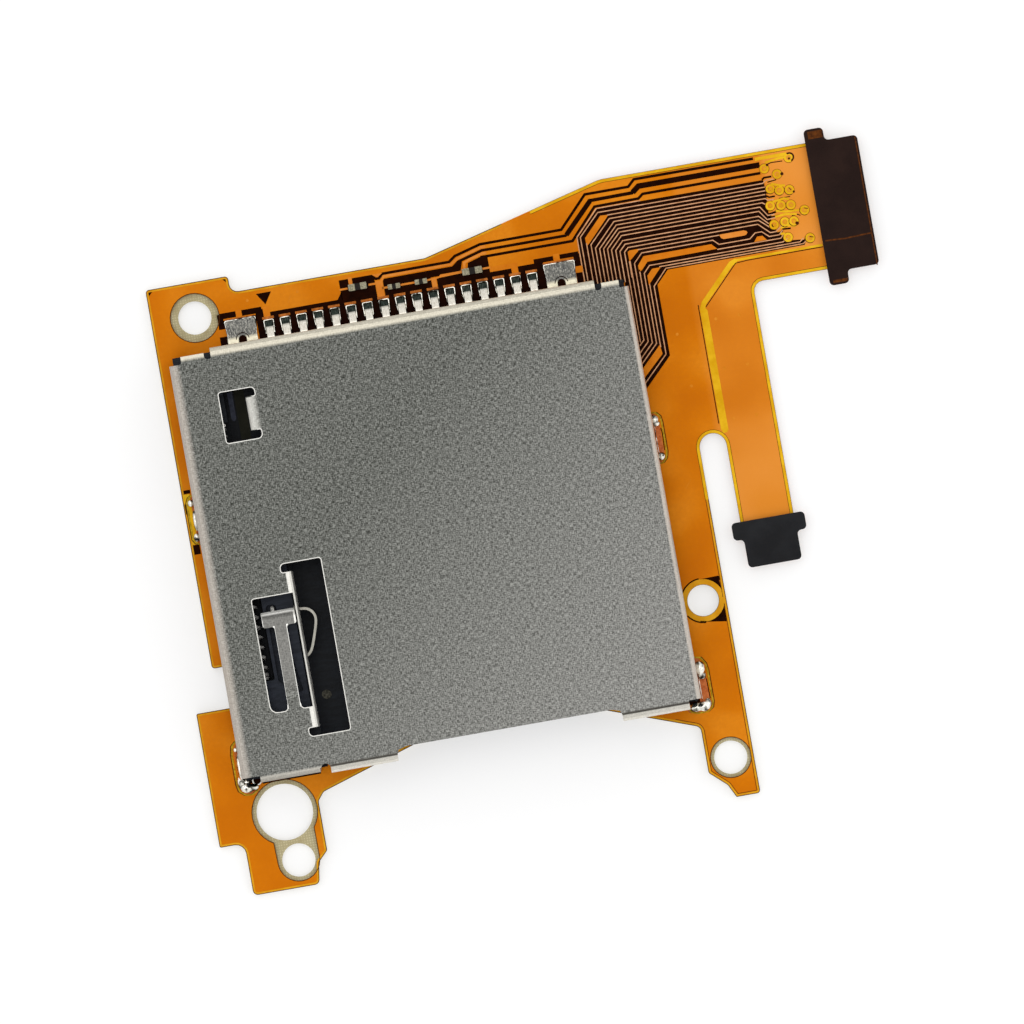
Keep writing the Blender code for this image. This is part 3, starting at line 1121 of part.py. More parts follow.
def main():
    clear_scene()
    looks = {
        "fibreglass": material("fibreglass", (0.37, 0.32, 0.12), 0.5),
        "flex": material("flex", (0.66, 0.19, 0.01), 0.3),
        "plug_film": material("plug_film", (0.02, 0.013, 0.01), 0.4),
        "black_plastic": material("black_plastic", (0.008, 0.009, 0.012), 0.4),
        "tin": material("tin", (0.75, 0.73, 0.68), 0.3, 1.0),
        "steel": material("steel", (0.5, 0.49, 0.46), 0.3, 1.0),
        "shield": material("shield", (0.3, 0.29, 0.27), 0.45, 1.0),
        "solder": material("solder", (0.8, 0.8, 0.8), 0.15, 1.0),
        "chip": material("chip", (0.28, 0.27, 0.2), 0.5),
    }
    build_board(looks)
    build_housing(looks)
    build_contacts(looks)
    build_hold_downs(looks)
    build_slider(looks)
    build_lock_spring(looks)
    build_follower(looks)
    build_spring(looks)
    build_shield(looks)
    build_solder(looks)
    build_chips(looks)


main()
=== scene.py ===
import math

import bmesh
import bpy
from mathutils import Matrix, Vector


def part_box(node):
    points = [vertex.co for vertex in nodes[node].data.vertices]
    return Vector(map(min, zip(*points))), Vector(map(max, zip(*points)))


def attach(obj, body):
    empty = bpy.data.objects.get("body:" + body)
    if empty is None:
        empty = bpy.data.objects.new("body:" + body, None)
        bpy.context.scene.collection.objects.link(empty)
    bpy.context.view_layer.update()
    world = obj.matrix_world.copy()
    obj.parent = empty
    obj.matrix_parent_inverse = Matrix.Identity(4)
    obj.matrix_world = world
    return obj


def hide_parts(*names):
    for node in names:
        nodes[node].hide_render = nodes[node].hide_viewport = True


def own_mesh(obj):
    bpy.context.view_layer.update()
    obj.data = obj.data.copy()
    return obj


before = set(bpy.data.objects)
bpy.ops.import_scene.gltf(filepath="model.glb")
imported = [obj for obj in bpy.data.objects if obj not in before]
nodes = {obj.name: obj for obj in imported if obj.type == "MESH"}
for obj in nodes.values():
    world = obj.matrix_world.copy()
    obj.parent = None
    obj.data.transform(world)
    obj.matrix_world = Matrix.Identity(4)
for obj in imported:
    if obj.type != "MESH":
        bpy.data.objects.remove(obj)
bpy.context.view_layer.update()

# Table, lamps and camera. The slot lies flat on a white table under two large soft boxes, and is
# seen from straight above, turned ten degrees on the table, through a long lens.
def add(tree, kind, sockets=None, **settings):
    """One more shader node, with its settings, and its sockets set or wired."""
    made = tree.nodes.new("ShaderNode" + kind)
    for key, value in settings.items():
        setattr(made, key, value)
    for key, value in (sockets or {}).items():
        if isinstance(value, bpy.types.NodeSocket):
            tree.links.new(value, made.inputs[key])
        else:
            made.inputs[key].default_value = value
    return made


def maths(tree, operation, first, second):
    """The outcome of one sum on two numbers or sockets."""
    return add(tree, "Math", {0: first, 1: second}, operation=operation).outputs[0]


def spread(tree, factor, low, high, start=0.3, end=0.7):
    """A factor that runs from start to end, turned into a range of numbers."""
    made = add(tree, "MapRange", {"Value": factor, "From Min": start, "From Max": end,
                                  "To Min": low, "To Max": high})
    return made.outputs[0]


table_paint, table_glow = 0.55, 0.46
table_look = bpy.data.materials.new("white_table")
table_look.use_nodes = True
tree = table_look.node_tree
shader = tree.nodes["Principled BSDF"]
shader.inputs["Roughness"].default_value = 0.9
shader.inputs["Specular IOR Level"].default_value = 0.1
rays = add(tree, "LightPath").outputs
fibre = add(tree, "TexNoise", {"Scale": 900.0, "Detail": 3.0})
paper = spread(tree, fibre.outputs["Fac"], 0.86, 0.9, 0, 1)
tone = spread(tree, rays["Is Camera Ray"], paper, table_paint, 0, 1)
tree.links.new(tone, shader.inputs["Base Color"])
glow = add(tree, "Emission", {"Strength": maths(tree, "MULTIPLY", rays["Is Camera Ray"], table_glow)})
both = add(tree, "AddShader", {0: shader.outputs[0], 1: glow.outputs[0]})
tree.links.new(both.outputs[0], tree.nodes["Material Output"].inputs["Surface"])

table_gap = 0.00002
bpy.ops.mesh.primitive_plane_add(size=2.0, location=(0, 0, -table_gap))
table = bpy.context.object
table.name = "table"
table.data.materials.append(table_look)

world = bpy.data.worlds.new("studio")
bpy.context.scene.world = world
world.use_nodes = True
tree = world.node_tree
background = tree.nodes["Background"]
background.inputs["Color"].default_value = (1, 1, 1, 1)
rays = add(tree, "LightPath").outputs
white = maths(tree, "MAXIMUM", rays["Is Camera Ray"], rays["Is Glossy Ray"])
white = maths(tree, "MAXIMUM", white, rays["Is Transmission Ray"])
tree.links.new(spread(tree, white, 0.92, 1.0, 0, 1), background.inputs["Strength"])


def soft_box(name, place, size, watts):
    lamp = bpy.data.lights.new(name, "AREA")
    lamp.shape = "SQUARE"
    lamp.size = size
    lamp.energy = watts
    box = bpy.data.objects.new(name, lamp)
    box.location = place
    box.rotation_euler = Vector(place).to_track_quat("Z", "Y").to_euler()
    bpy.context.scene.collection.objects.link(box)


soft_box("soft_box_overhead", (-0.2, 0.24, 1.25), 0.8, 2.6)
soft_box("soft_box_right", (0.5, -0.1, 0.7), 0.5, 0.35)

view_turn = math.radians(10)
frame_width = 0.06113
lens_height = 0.9
aim = (0.004716, 0.000533, 0.003)
camera = bpy.data.cameras.new("camera")
camera.sensor_width = 36
camera.lens = camera.sensor_width * lens_height / frame_width
camera.clip_start = 0.01
camera.clip_end = 20
eye = bpy.data.objects.new("camera", camera)
eye.location = (aim[0], aim[1], lens_height + aim[2])
eye.rotation_euler = (0, 0, -view_turn)
bpy.context.scene.collection.objects.link(eye)
bpy.context.scene.camera = eye
bpy.context.scene.view_settings.view_transform = "Standard"


# Stiffener. A sheet of woven glass and resin under the whole body of the board, milled to shape
# and glued to the flexible circuit. Its rings show round the screw holes.
def paint(red, green, blue):
    """A colour as it is read off a screen, for a shader's socket."""
    linear = [((c / 255 + 0.055) / 1.055) ** 2.4 if c > 10 else c / 3294.6 for c in (red, green, blue)]
    return (*linear, 1.0)


def start_finish(name, roughness, metallic=0.0):
    """A new finish with its shader and where each point of the piece lies."""
    look = bpy.data.materials.new(name)
    look.use_nodes = True
    tree = look.node_tree
    shader = tree.nodes["Principled BSDF"]
    shader.inputs["Roughness"].default_value = roughness
    shader.inputs["Metallic"].default_value = metallic
    where = add(tree, "TexCoord").outputs["Object"]
    return look, tree, shader, where


def grain(tree, where, size, detail=3.0, stretch=(1, 1, 1), roughness=0.55):
    """Noise whose blotches are about the given size, in metres."""
    placed = add(tree, "Mapping", {"Vector": where, "Scale": tuple(s / size for s in stretch)})
    noise = add(tree, "TexNoise", {"Vector": placed.outputs[0], "Scale": 1.0, "Detail": detail,
                                   "Roughness": roughness})
    return noise.outputs["Fac"]


def shades(tree, factor, *stops):
    """Colours that follow a factor: each stop is a place from 0 to 1 and a red, green and blue."""
    ramp = add(tree, "ValToRGB", {"Fac": factor})
    elements = ramp.color_ramp.elements
    while len(elements) < len(stops):
        elements.new(0.5)
    for element, (place, *colour) in zip(elements, stops):
        element.position = place
        element.color = paint(*colour)
    return ramp.outputs["Color"]


def mixed(tree, factor, first, second):
    """The first colour where the factor is nought, and the second where it is one."""
    return add(tree, "Mix", {"Factor": factor, 6: first, 7: second}, data_type="RGBA").outputs[2]


def coat(tree, shader, colour, roughness, height, depth):
    """Gives a finish its colour, its roughness, if that varies, and its relief, in metres."""
    tree.links.new(colour, shader.inputs["Base Color"])
    if roughness:
        tree.links.new(roughness, shader.inputs["Roughness"])
    bump = add(tree, "Bump", {"Height": height, "Distance": depth})
    tree.links.new(bump.outputs[0], shader.inputs["Normal"])


def wear(node_name, look):
    """Puts a finish on a solid of the model."""
    mesh = nodes[node_name].data
    mesh.materials.clear()
    mesh.materials.append(look)


glass_fibre, tree, shader, where = start_finish("woven_glass_fibre", 0.48)
thread = 0.00025
woven = add(tree, "Mapping", {"Vector": where, "Scale": (1 / thread, 1 / thread, 1 / thread)})
warp, weft = (add(tree, "TexWave", {"Vector": woven.outputs[0], "Scale": 0.5, "Distortion": 0.6},
                  bands_direction=way).outputs["Fac"] for way in "XY")
weave = maths(tree, "MULTIPLY", warp, weft)
cloth = shades(tree, weave, (0.0, 172, 160, 118), (0.6, 190, 178, 136), (1.0, 206, 196, 156))
blotch = grain(tree, where, 0.0006)
coat(tree, shader, mixed(tree, spread(tree, blotch, 0.0, 0.7, 0.4, 0.65), cloth, paint(162, 146, 102)),
     spread(tree, blotch, 0.38, 0.58), weave, 0.000006)
wear("body_stiffener", glass_fibre)


# Flexible circuit. Copper between two amber films: the poured copper shows as bright orange, and
# where it was etched away the dark backing shows through. Its film overlaps the copper's edges.
flex_film, tree, shader, where = start_finish("amber_film_over_copper", 0.3)
patch = grain(tree, where, 0.0042, 1.5)
fine = grain(tree, where, 0.00022, 4)
wide = shades(tree, patch, (0.34, 203, 110, 0), (0.5, 212, 119, 2), (0.62, 222, 132, 20))
pour = mixed(tree, spread(tree, fine, 0.0, 0.28), wide, paint(190, 98, 0))
# The film is paler down the side tail and round the holes of the main plug.
spots = add(tree, "SeparateXYZ", {0: where}).outputs
on_tail = maths(tree, "MULTIPLY", spread(tree, spots["Y"], 0.3, 1, 0.0045, 0.001),
                spread(tree, spots["X"], 0, 1, 0.0174, 0.0178))
near_plug = maths(tree, "MULTIPLY", spread(tree, spots["X"], 0, 1, 0.0228, 0.0232),
                  maths(tree, "GREATER_THAN", spots["Y"], 0.01306))
pale_film = shades(tree, patch, (0.3, 222, 136, 42), (0.7, 232, 148, 62))
pour = mixed(tree, maths(tree, "MAXIMUM", on_tail, near_plug), pour, pale_film)
tilt = add(tree, "SeparateXYZ", {0: add(tree, "NewGeometry").outputs["Normal"]}).outputs["Z"]
lying = spread(tree, maths(tree, "ABSOLUTE", tilt, 0.0), 0, 1, 0.4, 0.8)
shader.inputs["Specular IOR Level"].default_value = 0.03
coat(tree, shader, mixed(tree, lying, paint(96, 52, 10), pour), spread(tree, fine, 0.2, 0.32),
     grain(tree, where, 0.0014, 2), 0.00002)
wear("flex_circuit", flex_film)


# Etched gaps. The copper is etched away round a fan of thin lines that run from the contacts to
# the main plug, and between the soldered parts, so the dark backing shows through the film. One
# strip under the shield's front-left lip is painted shadow, not etching.
FLEX_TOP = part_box("flex_circuit")[1].z
FILM_STEP = 0.000003
HAIR_STEP = FILM_STEP * 0.12
HAIR_LEVELS = 7


def film_tone(name, dark, light, roughness=0.3, size=0.0004, gloss=0.035):
    """A tone of the film: two close colours in fine blotches under a gloss."""
    look, tree, shader, where = start_finish(name, roughness)
    fleck = grain(tree, where, size)
    shader.inputs["Specular IOR Level"].default_value = gloss
    coat(tree, shader, shades(tree, fleck, (0.35, *dark), (0.65, *light)),
         spread(tree, fleck, roughness - 0.06, roughness + 0.08), fleck, 0.000004)
    return look


def new_piece(name, work, look, smooth=False):
    """Ends the work on a mesh and puts it in the scene with its finish."""
    mesh = bpy.data.meshes.new(name)
    work.to_mesh(mesh)
    work.free()
    mesh.materials.append(look)
    for face in mesh.polygons:
        face.use_smooth = smooth and len(face.vertices) == 4
    piece = bpy.data.objects.new(name, mesh)
    bpy.context.scene.collection.objects.link(piece)
    return piece


def film_layer(name, shapes, look, lift, carrier_top=FLEX_TOP):
    """Flat shapes, in millimetres, that lie the given number of steps above their carrier. Each
    shape has its own hair's height, so that none lies in the plane of its neighbour."""
    work = bmesh.new()
    for n, shape in enumerate(shapes):
        level = carrier_top + FILM_STEP * lift + HAIR_STEP * (n % HAIR_LEVELS)
        face = work.faces.new([work.verts.new((x / 1000, y / 1000, level)) for x, y in shape])
        face.normal_update()
        if face.normal.z < 0:
            face.normal_flip()
    bmesh.ops.triangulate(work, faces=[f for f in work.faces if len(f.verts) > 4])
    piece = new_piece(name, work, look)
    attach(piece, "frame")


def line(width, *points):
    """The quads of a line of even width through the points."""
    sides = []
    for n, point in enumerate(points):
        here = Vector(point)
        after = (Vector(points[min(n + 1, len(points) - 1)]) - here).normalized()
        before = (here - Vector(points[max(n - 1, 0)])).normalized()
        after = after if after.length > 0 else before
        before = before if before.length > 0 else after
        mean = (before + after).normalized()
        across = Vector((-mean.y, mean.x)) * (width / 2 / max(mean.dot(after), 0.4))
        sides.append((tuple(here + across), tuple(here - across)))
    return [[a[0], a[1], b[1], b[0]] for a, b in zip(sides, sides[1:])]


def lines(*rows):
    """The quads of several lines, each given as its width and its points."""
    return [quad for row in rows for quad in line(*row)]


def block(left, right, front, back):
    return [(left, front), (right, front), (right, back), (left, back)]


def arc(x, y, radius, start, end, steps):
    """Points along an arc, in degrees."""
    turns = [math.radians(start + (end - start) * n / steps) for n in range(steps + 1)]
    return [(x + radius * math.cos(turn), y + radius * math.sin(turn)) for turn in turns]


def disc(x, y, radius, steps=20):
    return arc(x, y, radius, 0, 360, steps)[:-1]


# This dark film is also laid as painted shadow and shade: under the front-left lip, in the tab holes and at
# the front-left foot.
etched = film_tone("dark_backing_and_painted_shade", (22, 4, 0), (34, 9, 1), gloss=0.01)
fan = [
    (11.42, 12.9), (11.42, 16.0), (12.88, 17.54), (22.95, 17.5), (23.0, 17.35), (23.0, 16.6), (22.95, 15.5),
    (23.1, 15.35), (23.0, 14.9), (23.3, 14.2), (23.55, 14.0), (23.55, 13.7), (24.55, 13.6), (24.9, 13.52),
    (24.75, 13.24), (16.42, 13.2), (15.66, 12.42), (15.66, 8.12), (13.75, 6.2), (13.75, 12.9),
]
dark = [fan]
dark += lines(
    (0.165, (-1.15, 15.92), (-0.9, 15.7), (-0.7, 15.7), (-0.45, 15.93), (3.6, 15.93), (4.0, 16.22),
     (5.6, 16.65), (10.55, 16.66), (12.3, 18.5), (14.95, 18.5), (15.35, 18.88), (22.6, 18.86)),
    (0.17, (4.15, 15.85), (5.65, 16.27), (10.75, 16.27), (11.0, 16.4)),
    (0.3, (10.8, 16.3), (12.52, 18.04), (12.6, 18.06)),
    (0.21, (12.45, 18.08), (15.1, 18.1), (15.2, 18.2)),
    (0.34, (15.15, 18.12), (15.55, 18.43), (22.92, 18.42)),
    (0.165, (5.5, 15.88), (11.1, 15.88), (12.75, 17.68), (15.42, 17.7), (15.72, 17.93), (22.88, 17.93)))
dark += [
    [(-3.1, 14.6), (-0.98, 14.6), (-0.98, 15.7), (-1.1, 15.98), (-3.1, 15.98)],
    [(-0.5, 15.2), (3.0, 15.2), (4.2, 15.3), (4.4, 15.9), (4.1, 15.92), (3.75, 15.64), (-0.5, 15.62)],
    [(-0.5, 14.6), (2.36, 14.6), (2.36, 15.2), (-0.5, 15.2)],
    [(2.7, 14.6), (5.92, 14.6), (5.92, 15.92), (5.55, 15.93), (4.7, 15.68), (4.6, 15.2), (3.0, 15.12),
     (2.7, 15.05)],
    block(5.9, 7.2, 14.6, 14.9), block(7.6, 8.75, 14.6, 14.95),
    block(-7.5, -3.05, 14.6, 14.85), [(-3.4, 14.8), (-3.05, 14.8), (-3.05, 15.3)],
    # The last block on the next line is a painted shadow under the shield's front-left lip.
    block(-8.35, 8.95, 13.1, 14.62), block(13.2, 13.95, -12.72, -12.38), block(-12.8, -9.25, -12.9, -12.74),
    block(-10.5, -9.52, 14.9, 15.25), block(-9.15, -7.95, 14.9, 15.25), block(-8.35, -7.88, 13.2, 15.1),
    block(-10.65, -10.3, 14.3, 15.2), block(-10.7, -10.15, 13.2, 13.85),
    block(8.6, 9.78, 14.92, 15.2), block(10.18, 11.32, 14.94, 15.22), block(10.98, 11.36, 14.35, 15.1),
    block(10.98, 11.36, 13.2, 13.95), block(8.66, 9.15, 13.2, 15.0),
    [(-8.12, 16.05), (-7.2, 16.05), (-7.66, 15.34)], disc(-9.35, 13.6, 0.4), disc(10.02, 13.6, 0.4),
    [(-14.48, 17.28), (-14.18, 17.28), (-14.48, 16.98)], [(-9.98, 17.28), (-9.72, 17.28), (-9.72, 17.02)],
    block(-14.5, -14.05, 4.98, 5.2), block(-14.55, -14.05, 1.3, 1.88),
]
dark += [block(-14.58, -14.53, -5.4, 17.2), block(15.8, 16.42, -5.62, -5.38)]
dark += lines(
    (0.06, (23.4, 18.38), (23.6, 18.44), (24.3, 18.42)),
    (0.12, (22.9, 17.52), (23.05, 17.62), (23.5, 17.62)),
    (0.07, (23.2, 17.32), (23.75, 17.38)), (0.1, (22.95, 16.55), (23.15, 16.42), (23.5, 16.42)),
    (0.05, (23.5, 16.05), (23.75, 16.25), (24.4, 16.25)),
    (0.12, (22.95, 15.42), (23.35, 15.48), (23.52, 15.58)),
    (0.06, (24.3, 15.1), (24.65, 15.12), (24.8, 15.02)), (0.12, (22.9, 16.73), (23.3, 16.68)),
    (0.12, (22.9, 15.2), (23.6, 15.24)), (0.1, (22.9, 16.98), (23.2, 16.97)),
    (0.12, (22.9, 14.4), (23.1, 14.2), (23.5, 14.22), (23.6, 14.34)), (0.1, (22.85, 14.98), (23.3, 15.0)),
    (0.1, (23.6, 14.4), (24.1, 14.36)), (0.12, (24.55, 13.45), (24.8, 13.5), (24.92, 13.68)))
film_layer("etched_gaps_and_lip_shadow", dark, etched, 1)

# Copper lines. Thin lines of rolled copper stay standing inside the fan when the rest is etched,
# here from the outermost to the innermost.
copper_line = film_tone("thin_copper_line", (192, 136, 94), (220, 166, 124))
runs = [
    ((11.4, 13.3), (11.4, 16.06), (12.84, 17.55), (15.5, 17.56)),
    ((11.9, 13.1), (11.9, 15.6)), ((14.24, 13.1), (14.24, 14.1)),
    ((11.6, 13.1), (11.6, 16.02), (12.88, 17.3), (22.92, 17.3), (23.1, 17.45), (23.6, 17.45)),
    ((13.4, 17.05), (23.1, 17.06)),
    ((12.15, 13.1), (12.15, 15.47), (13.5, 16.82), (23.0, 16.84)),
    ((12.38, 13.1), (12.38, 15.22), (13.74, 16.6), (22.95, 16.62)),
    ((12.62, 13.1), (12.62, 15.14), (13.84, 16.37), (22.9, 16.38), (23.05, 16.25), (23.4, 16.25)),
    ((12.85, 13.1), (12.85, 15.09), (13.9, 16.14), (22.68, 16.16), (22.95, 15.96)),
    ((13.08, 13.1), (13.08, 15.04), (13.96, 15.92), (22.5, 15.93), (22.88, 15.36), (23.3, 15.36)),
    ((13.31, 13.1), (13.31, 14.96), (14.04, 15.69), (22.4, 15.69), (22.8, 15.12), (23.3, 15.16)),
    ((13.55, 13.1), (13.55, 14.87), (14.06, 15.38), (22.33, 15.4), (22.85, 14.86)),
    ((13.79, 12.9), (13.79, 14.77), (14.17, 15.15), (22.28, 15.17), (22.9, 14.62)),
    ((14.05, 9.2), (14.05, 14.68), (14.3, 14.92), (22.2, 14.94), (22.85, 14.32), (23.2, 14.32),
     (23.6, 14.62)),
    ((13.98, 9.0), (14.28, 9.3), (14.28, 14.1)), ((14.85, 14.69), (19.8, 14.7)),
    ((13.9, 8.55), (14.52, 9.17), (14.52, 13.92), (15.05, 14.46), (19.38, 14.47), (19.7, 14.16),
     (21.58, 14.16), (21.95, 14.46), (22.35, 14.46), (22.75, 14.1), (23.35, 14.1), (23.6, 14.34)),
    ((13.9, 8.2), (14.75, 9.05), (14.75, 13.5)), ((19.55, 13.88), (23.4, 13.88), (23.6, 14.05)),
    ((13.9, 7.88), (14.99, 8.97), (14.99, 13.22), (15.38, 13.64), (23.5, 13.64), (23.8, 13.8)),
    ((15.2, 8.7), (15.2, 12.6)), ((15.95, 13.46), (24.5, 13.47), (24.75, 13.66)),
    ((13.9, 6.72), (15.44, 8.24), (15.44, 12.36), (16.32, 13.3), (24.68, 13.33), (24.95, 13.52)),
]
line_width = 0.062
film_layer("copper_lines", lines(*((line_width, *run) for run in runs)), copper_line, 2)

# Copper patches, links and pads. Wider copper that the etching leaves in the gaps: patches in the
# fan, spokes to the soldered plates, links between the chip parts, and a pad behind each contact.
copper_pour = film_tone("poured_copper", (206, 112, 8), (220, 128, 24), 0.3, 0.001)
copper_light = film_tone("poured_copper_over_gap", (214, 124, 36), (226, 140, 56), 0.3, 0.001)
rust_pad = film_tone("oxidised_copper_pad", (150, 80, 24), (196, 116, 52), 0.4, 0.0002)
patches = [
    [(11.87, 15.4), (11.87, 15.92), (13.0, 17.09), (13.44, 17.06), (13.42, 16.98), (12.08, 15.58)],
    [(14.24, 14.08), (14.24, 14.66), (14.36, 14.73), (14.95, 14.73), (14.86, 14.6)],
    [(14.71, 13.35), (14.71, 13.75), (15.12, 14.25), (19.25, 14.25), (19.55, 13.92), (15.3, 13.88),
     (14.9, 13.45)],
    [(21.8, 13.93), (22.02, 14.22), (22.35, 14.22), (22.58, 13.93)],
    [(15.15, 12.5), (15.15, 13.05), (15.5, 13.42), (16.02, 13.42)],
    [(15.16, 8.85), (15.24, 8.3), (13.85, 6.98), (13.85, 7.55)],
    block(-9.5, -9.17, 14.7, 15.3), block(-10.75, -10.25, 13.87, 14.25),
    block(9.8, 10.15, 14.7, 15.3), block(10.95, 11.42, 13.97, 14.33),
    block(-7.88, -7.48, 14.55, 15.2), block(7.2, 7.6, 14.55, 15.2), block(5.95, 7.2, 14.9, 15.2),
]
film_layer("copper_patches", patches, copper_pour, 2)
links = [
    block(-0.95, -0.53, 14.6, 15.55), [(-1.1, 15.98), (-0.8, 15.76), (-0.45, 15.98)],
    block(-2.54, -2.31, 15.6, 16.05), block(-3.15, -2.65, 15.36, 15.48), block(-1.38, -0.9, 15.36, 15.48),
    block(2.38, 2.66, 14.6, 15.12), block(0.5, 1.36, 15.02, 15.14), block(-0.6, -0.2, 15.02, 15.14),
    [(2.1, 15.02), (3.0, 15.1), (4.25, 15.14), (4.25, 15.28), (2.95, 15.28), (2.85, 15.16), (2.1, 15.14)],
    block(5.5, 5.98, 15.12, 15.24),
]
links += lines(
    (0.15, (-0.62, 15.45), (-0.42, 15.76), (3.7, 15.77), (4.1, 16.03), (5.6, 16.46), (5.9, 16.47)),
    (0.15, (4.44, 15.35), (4.48, 15.72), (4.85, 15.87), (5.6, 16.08), (5.9, 16.09)))
links += [[(19.8, 14.72), (20.0, 14.73), (21.3, 14.73), (21.47, 14.66), (21.5, 14.56), (21.42, 14.46),
           (21.3, 14.42), (20.05, 14.42), (19.9, 14.5)]]
film_layer("copper_links", links, copper_light, 3)
contacts = 17
pads = [block(-8.0 + n, -7.3 + n, 14.46, 14.6) for n in range(contacts)]
pads += [block(-10.25, -8.42, 14.66, 14.86), block(9.1, 10.98, 14.68, 14.88)]
film_layer("pad_strips", pads, rust_pad, 3)

# Plated holes. Near the main plug, lines pass through the film in drilled and copper-plated holes,
# each in a ring of bare film with a darker rim.
def ring(x, y, outer, inner, start=0, end=360, steps=24):
    """The quads of a flat ring or of part of one."""
    rim = list(zip(arc(x, y, outer, start, end, steps), arc(x, y, inner, start, end, steps)))
    return [[a[0], b[0], b[1], a[1]] for a, b in zip(rim, rim[1:])]


bare_film = film_tone("bare_amber_film", (214, 158, 8), (234, 184, 30), 0.24, 0.001)
rust_film = film_tone("film_over_hole_rim", (120, 58, 8), (160, 88, 20), 0.3, 0.0003)
amber_line = film_tone("film_edge_glow", (206, 140, 14), (222, 160, 30), 0.26, 0.0008)
shadow_film = film_tone("shadowed_film", (52, 20, 0), (84, 38, 2))
holes = ((24.7, 18.55), (23.15, 18.15), (23.85, 17.7), (23.3, 16.9), (23.82, 16.72), (24.42, 16.65),
         (23.12, 15.9), (23.76, 15.82), (24.35, 15.75), (25.1, 15.3), (23.15, 14.74), (23.82, 14.8),
         (24.36, 14.76), (23.85, 13.86), (25.14, 13.6))
lands, rings, centres = [], [], []
for x, y in holes:
    lands += ring(x, y, 0.315, 0.28, steps=16)
    rings += ring(x, y, 0.285, 0.15, steps=16)
    centres.append(disc(x + 0.02, y - 0.02, 0.1, 10))
rings += lines(
    (0.2, (22.7, 18.8), (24.6, 18.8)), (0.13, (23.25, 18.5), (24.1, 18.62), (24.5, 18.62)),
    (0.13, (23.4, 17.2), (23.9, 17.0), (24.2, 16.95)), (0.13, (23.3, 16.1), (24.0, 16.2), (24.3, 16.1)),
    (0.13, (23.4, 15.55), (24.0, 15.4), (24.9, 15.35)), (0.13, (23.5, 14.5), (24.1, 14.55), (24.4, 14.45)),
    (0.13, (23.45, 14.15), (23.7, 14.1)), (0.13, (23.3, 15.2), (23.9, 15.25), (24.6, 15.15)))
film_layer("plated_holes", rings, bare_film, 3)
film_layer("plated_hole_rims", lands, rust_film, 2)
film_layer("plated_hole_centres", centres, amber_line, 3)
shadows = [disc(x, y, radius, 12) for x, y, radius in (
    (24.14, 17.67, 0.1), (24.53, 14.6, 0.11), (24.66, 16.5, 0.07), (23.36, 18.34, 0.08),
    (24.72, 18.5, 0.07))]
shadows += ring(24.76, 18.58, 0.29, 0.19, -75, 120, 12)
shadows += lines((0.05, (25.12, 13.68), (25.34, 13.62)), (0.05, (25.1, 15.42), (25.32, 15.36)),
                 (0.05, (24.4, 16.78), (24.52, 16.62)))
for x, y in holes[3:]:
    shadows += ring(x, y, 0.32, 0.28, 150, 290, 10)
film_layer("plated_hole_shadows", shadows, shadow_film, 4)

# Bare bands. Where no copper was left between two parts of the circuit, the amber film shines
# alone, with a hair of dark backing along it.
borders = [block(20.4, 25.8, 12.98, 13.12), block(-14.52, -14.12, 1.9, 4.95)]
borders += line(0.3, (20.55, 13.02), (20.2, 12.9), (18.2, 10.85), (18.05, 10.5), (18.05, 3.5), (18.12, 3.0))
borders += [[(17.9, 10.5), (18.1, 10.7), (18.34, 10.4), (18.34, 3.1), (17.9, 3.2)]]
film_layer("bare_film_bands", borders, bare_film, 2)
film_layer("film_hairlines", lines(
    (0.05, (18.27, 10.6), (20.48, 12.88), (21.1, 12.92)), (0.05, (17.84, 10.8), (17.83, 3.6)),
    (0.05, (21.1, 12.93), (25.8, 12.94))), etched, 3)

# Dimples. Pins of the laminating press leave faint round marks in the film down the side tail, and
# handling leaves a few rubs.
faint_rub = film_tone("rubbed_film", (208, 122, 18), (220, 136, 38), 0.3, 0.0003)
dimples = [disc(x, y, 0.1, 12) for x in (18.75, 20.15) for y in (9.8, 6.8, 3.75)]
dimples += [disc(x, y, 0.09, 12)
            for x, y in ((16.3, 9.3), (16.6, 6.1), (-8.7, 15.75), (-5.65, 15.75), (9.7, 18.1))]
rubs = lines((0.04, (-6.3, 15.2), (-6.1, 15.6)), (0.04, (15.6, 0.6), (15.2, 0.1)))
film_layer("film_dimples", dimples + rubs, faint_rub, 1)

# Film edge. The film reaches past the copper along every edge of the board, so a bright line
# follows the edge, with a thin dark one outside it where the cut stiffener shows.
level_slack = 0.000002


def edge_loops(node_name, level):
    """The outlines of a flat piece's face at a level, in millimetres, each as a loop of points."""
    work = bmesh.new()
    work.from_mesh(nodes[node_name].data)
    bmesh.ops.remove_doubles(work, verts=work.verts, dist=0.0000005)
    flat = [f for f in work.faces if all(abs(v.co.z - level) < level_slack for v in f.verts)]
    inner = set(flat)
    onward = {}
    for face in flat:
        for corner in face.loops:
            if not any(f in inner and f is not face for f in corner.edge.link_faces):
                onward[corner.vert] = corner.link_loop_next.vert
    loops = []
    while onward:
        start = next(iter(onward))
        here, loop = start, []
        while here in onward:
            loop.append((here.co.x * 1000, here.co.y * 1000))
            here = onward.pop(here)
        loops.append(loop)
    work.free()
    return loops


border_step = 0.6


